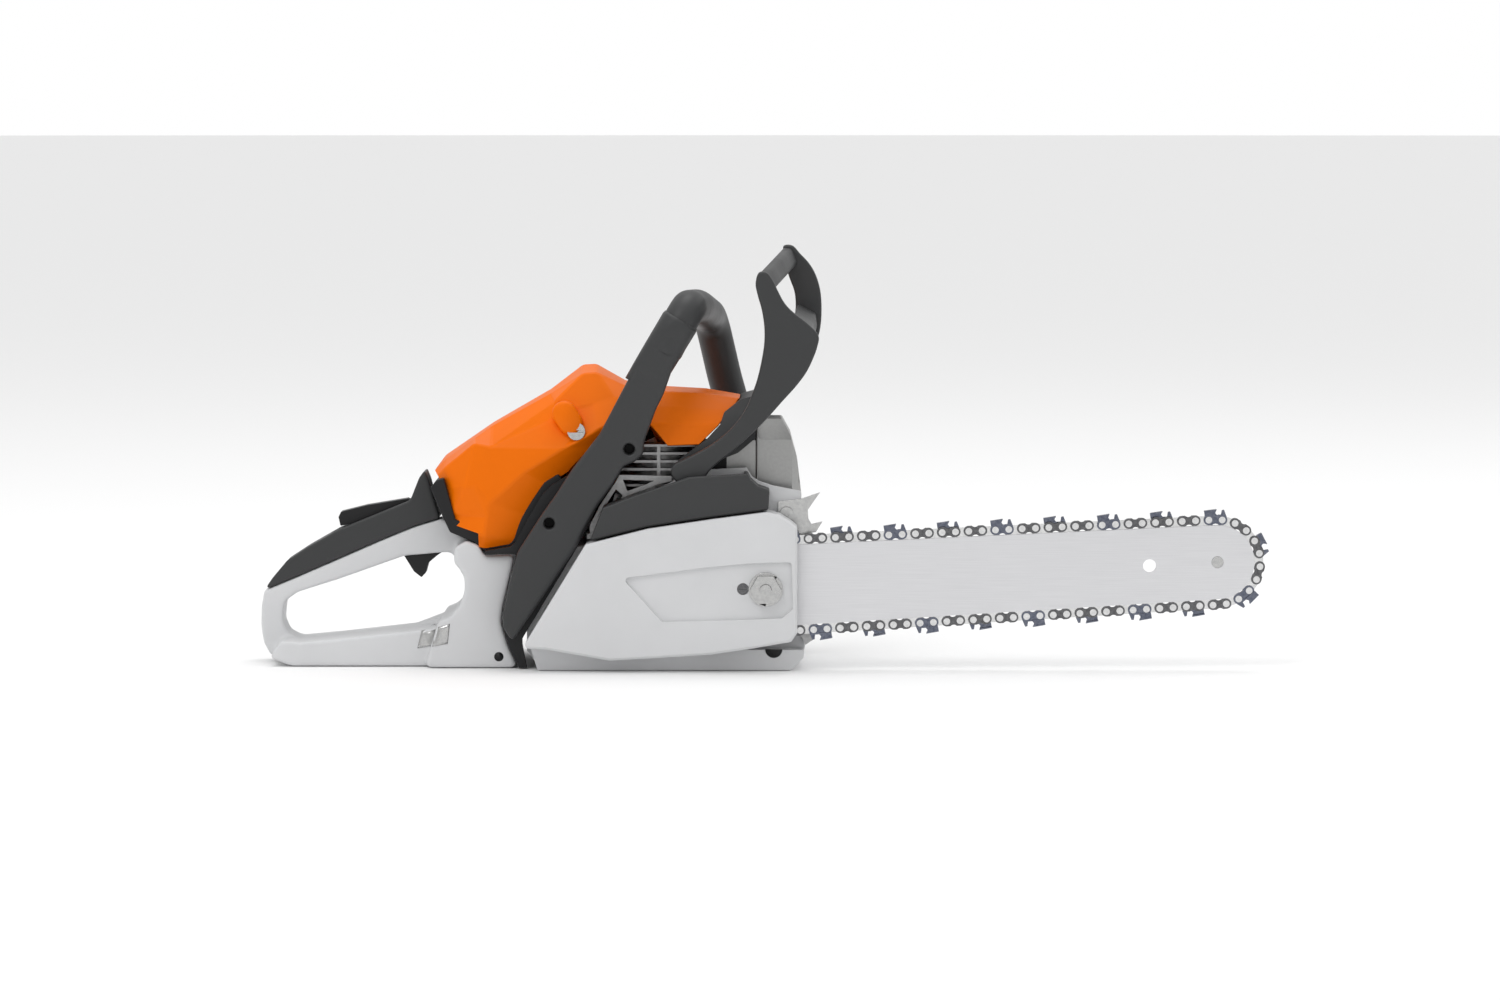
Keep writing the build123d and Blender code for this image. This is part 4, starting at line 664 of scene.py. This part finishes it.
SHROUD_MIDDLE = 0.9
SHROUD_WALL = 2.2
SHROUD_RIDGE = [
    (-154, 136.9), (-147.4, 145.9), (-127, 159.9), (-113, 169.5), (-72.7, 192.8), (-49.9, 210.3),
    (-40.5, 210.8), (-19.4, 197.8), (7, 195), (37.5, 193.3), (61.5, 188.4),
]
SHROUD_SHOULDER = [
    (-153.5, -30, 137), (-146, -30, 145), (-126, -30, 159.2), (-113, -27, 168.6), (-71, -27, 191.8),
    (-49, -33, 205.7),
    (-39.2, -32, 206.3), (-19.5, -33, 197), (7, -34, 193), (37.5, -32, 191.4), (60.8, -28, 187.8),
]
SHROUD_CORNERS = {
    "rear_edge": (-151, -40, 134), "rear_top": (-146.3, -46, 139.6), "fold_top": (-124.7, -55, 157.7),
    "panel_top": (-112.8, -55, 155), "panel_front": (-69.5, -49.5, 173.7),
    "boss_low": (-56.8, -54.5, 159.2),
    "hump_foot": (-68.3, -46, 187.4), "hump_front": (-27.7, -44, 188.7),
    "hump_low_front": (-41.6, -46, 184),
    "hump_low": (-55.6, -46, 180.5), "neck": (-19.5, -46, 187.5), "rear_mid": (-141.1, -50, 124.6),
    "fold_mid": (-131.6, -60, 126.5), "fold_low": (-123.9, -60, 127.9), "heel": (-115.6, -60, 106.9),
    "heel_low": (-117.8, -59, 92.7), "sweep_rear": (-114.1, -60, 115.3), "sweep_mid": (-88.9, -60, 137.7),
    "sweep_front": (-60.9, -59.5, 154.5), "sweep_end": (-38.6, -57, 166.9), "edge_1": (-147.5, -43, 128),
    "edge_2": (-140.8, -50, 107.3), "edge_3": (-137.3, -53, 99.5), "edge_4": (-121.9, -58, 94.5),
    "edge_5": (-120.8, -58, 84.9), "rim_0": (-8.1, -54, 178.1), "rim_1": (-20.1, -55, 176.1),
    "rim_2": (-40.2, -52, 158.1), "rim_3": (-56.2, -51, 141), "rim_4": (-59.2, -51, 137.4),
    "rim_5": (-71.2, -51, 129.6),
    "rim_6": (-78.2, -51.5, 123), "rim_7": (-88.2, -52, 106), "rim_8": (-97.2, -53, 89.4),
    "rim_9": (-100.3, -53, 86.6),
    "rim_10": (-117.3, -55, 83.7), "cowl_top": (3.2, -46, 182.4), "cowl_front": (50.9, -42, 180.1),
    "cowl_mid_front": (46.7, -52, 170.7), "cowl_mid": (-1.5, -54, 171.1),
    "cowl_low_front": (32.7, -58, 157.1),
    "cowl_low": (11, -58, 156.4),
}
LEFT_RIM = {
    "rim_0": (9, 125), "rim_1": (4, 118), "rim_2": (-20, 118), "rim_3": (-45, 118), "rim_4": (-58, 118),
    "rim_5": (-68, 119), "cowl_mid": (9.5, 150),
}
SHROUD_FACES = [
    "shoulder_0 shoulder_1 rear_top rear_edge", "shoulder_1 shoulder_2 fold_top rear_top",
    "shoulder_2 shoulder_3 panel_top fold_top", "shoulder_3 shoulder_4 hump_foot panel_front panel_top",
    "shoulder_4 shoulder_5 hump_foot", "hump_foot shoulder_5 shoulder_6 hump_front hump_low_front hump_low",
    "shoulder_6 shoulder_7 neck hump_front", "shoulder_7 shoulder_8 cowl_top neck",
    "shoulder_8 shoulder_9 cowl_front cowl_top", "shoulder_9 shoulder_10 cowl_front",
    "rear_edge rear_top rear_mid edge_1", "rear_top fold_top fold_mid rear_mid",
    "fold_top panel_top fold_low fold_mid", "edge_1 rear_mid fold_mid edge_2",
    "fold_mid fold_low heel edge_2",
    "edge_2 heel heel_low edge_4 edge_3", "edge_4 heel_low rim_10 edge_5",
    "panel_top panel_front boss_low sweep_front",
    "panel_top sweep_front sweep_mid", "panel_top sweep_mid sweep_rear fold_low",
    "fold_low sweep_rear heel",
    "hump_foot hump_low boss_low panel_front", "hump_low hump_low_front sweep_end boss_low",
    "hump_low_front hump_front neck rim_1 sweep_end", "boss_low sweep_end sweep_front",
    "sweep_end rim_1 rim_2 sweep_front", "sweep_front rim_2 rim_3 rim_4 rim_5 sweep_mid",
    "sweep_mid rim_5 rim_6 rim_7 sweep_rear", "sweep_rear rim_7 rim_8 heel_low heel",
    "heel_low rim_8 rim_9 rim_10",
    "neck cowl_top cowl_mid rim_0 rim_1", "cowl_top cowl_front cowl_mid_front cowl_mid",
    "cowl_mid cowl_mid_front cowl_low_front cowl_low",
]


def make_shroud():
    """The top cover: folded flat panels that meet in soft creases, as one thin shell."""
    shape = bmesh.new()
    ridge = [shape.verts.new((x * MM, SHROUD_MIDDLE * MM, z * MM)) for x, z in SHROUD_RIDGE]
    for side in (1, -1):
        corners = {f"shoulder_{index}": spot for index, spot in enumerate(SHROUD_SHOULDER)}
        corners.update(SHROUD_CORNERS)
        if side < 0:
            for name, (x, z) in LEFT_RIM.items():
                corners[name] = (x, SHROUD_CORNERS[name][1], z)
        made = {}
        for name, (x, y, z) in corners.items():
            across = SHROUD_MIDDLE + side * (y - SHROUD_MIDDLE)
            made[name] = shape.verts.new((x * MM, across * MM, z * MM))
        for index in range(len(ridge) - 1):
            one, two = made[f"shoulder_{index}"], made[f"shoulder_{index + 1}"]
            shape.faces.new([ridge[index], ridge[index + 1], two, one])
        for names in SHROUD_FACES:
            shape.faces.new([made[name] for name in names.split()])
    bmesh.ops.recalc_face_normals(shape, faces=shape.faces)
    mesh = to_mesh(shape, "shroud_shell")
    shell = finish_piece("shroud_shell", mesh, "saw", "orange_plastic", ["shroud"])
    creases = shell.modifiers.new("creases", "BEVEL")
    creases.width = 1.8 * MM
    creases.segments = 3
    creases.limit_method = "ANGLE"
    creases.angle_limit = math.radians(7)
    wall = shell.modifiers.new("wall", "SOLIDIFY")
    wall.thickness = SHROUD_WALL * MM
    wall.offset = -1
    round_edges(shell, 0.5 * MM, 50)


BOSS_ENDS = (Vector((-61.5, 178.5)), Vector((-57.2, 172)))
BOSS_RADIUS = 8.6
BOSS_STEPS = ((1.0, -50.0), (1.0, -55.5), (0.93, -57.6), (0.8, -58.4))


def make_lock_boss():
    """A raised rib on the shroud whose lower end holds the quarter-turn screw."""
    along = (BOSS_ENDS[1] - BOSS_ENDS[0]).normalized()
    heading = math.atan2(along.y, along.x)
    outline = []
    for end, start in ((BOSS_ENDS[1], heading - math.pi / 2), (BOSS_ENDS[0], heading + math.pi / 2)):
        for step in range(17):
            turn = start + math.pi * step / 16
            outline.append(end + BOSS_RADIUS * Vector((math.cos(turn), math.sin(turn))))
    middle = (BOSS_ENDS[0] + BOSS_ENDS[1]) / 2
    sections = []
    for scale, y in BOSS_STEPS:
        spots = [middle + (spot - middle) * scale for spot in outline]
        sections.append([(spot.x, y, spot.y) for spot in spots])
    finish_piece("lock_boss", loft_mesh("lock_boss", sections), "saw", "orange_plastic")


make_shroud()
make_lock_boss()


# ---- studio -------------------------------------------------------------------------


SAW_MIDDLE = (0.05, 0, 0.1)
FLOOR_RADIUS = 60.0
FLOOR_DROP = 0.0005


def make_floor():
    """A wide pale floor under the saw."""
    shape = bmesh.new()
    bmesh.ops.create_circle(shape, cap_ends=True, segments=96, radius=FLOOR_RADIUS)
    mesh = to_mesh(shape, "studio_floor")
    material, _, shader = start_material("studio_floor")
    shader.inputs["Base Color"].default_value = (0.93, 0.93, 0.93, 1)
    shader.inputs["Roughness"].default_value = 0.75
    shader.inputs["Specular IOR Level"].default_value = 0.1
    mesh.materials.append(material)
    floor = bpy.data.objects.new("studio_floor", mesh)
    floor.location.z = -FLOOR_DROP
    bpy.context.scene.collection.objects.link(floor)


def make_light(name, place_at, aim, size, power):
    """A round soft light that points at aim."""
    lamp = bpy.data.lights.new(name, "AREA")
    lamp.shape = "DISK"
    lamp.size = size
    lamp.energy = power
    holder = bpy.data.objects.new(name, lamp)
    holder.location = place_at
    holder.rotation_euler = (Vector(aim) - Vector(place_at)).to_track_quat("-Z", "Y").to_euler()
    bpy.context.scene.collection.objects.link(holder)


def make_world():
    """A soft pale sky, plain white where the camera sees it."""
    world = bpy.data.worlds.new("studio")
    world.use_nodes = True
    tree = world.node_tree
    back = tree.nodes["Background"]
    aim = place(tree, "ShaderNodeTexCoord").outputs["Generated"]
    parts = place(tree, "ShaderNodeSeparateXYZ", {0: aim})
    sky = spread(tree, parts.outputs["Z"], -0.1, 0.9, 0.52, 1.0)
    seen = place(tree, "ShaderNodeLightPath").outputs["Is Camera Ray"]
    glow = place(tree, "ShaderNodeMix", {0: seen, 2: sky, 3: 1.0}, data_type="FLOAT")
    tree.links.new(glow.outputs[0], back.inputs["Strength"])
    back.inputs["Color"].default_value = (1, 1, 1, 1)
    bpy.context.scene.world = world


CAMERA_TARGET = Vector((0.0684, -0.066, 0.1185))
CAMERA_DISTANCE = 4.0
CAMERA_RISE = math.radians(4.0)


def make_camera():
    """Looks along +Y from the saw's right, a little from above."""
    lens = bpy.data.cameras.new("camera")
    lens.lens = 137.47
    lens.sensor_width = 36.0
    lens.clip_end = 200.0
    camera = bpy.data.objects.new("camera", lens)
    back = Vector((0, -math.cos(CAMERA_RISE), math.sin(CAMERA_RISE)))
    camera.location = CAMERA_TARGET + CAMERA_DISTANCE * back
    camera.rotation_euler = (math.pi / 2 - CAMERA_RISE, 0, 0)
    bpy.context.scene.collection.objects.link(camera)
    bpy.context.scene.camera = camera


make_floor()
make_world()
make_light("key", (-1.2, -2.4, 3.0), SAW_MIDDLE, 1.4, 22)
make_light("top", (0.3, 0.6, 3.2), SAW_MIDDLE, 1.6, 20)
make_light("rim", (2.6, 1.6, 1.8), SAW_MIDDLE, 1.6, 6)
make_camera()
bpy.context.scene.view_settings.view_transform = "Standard"
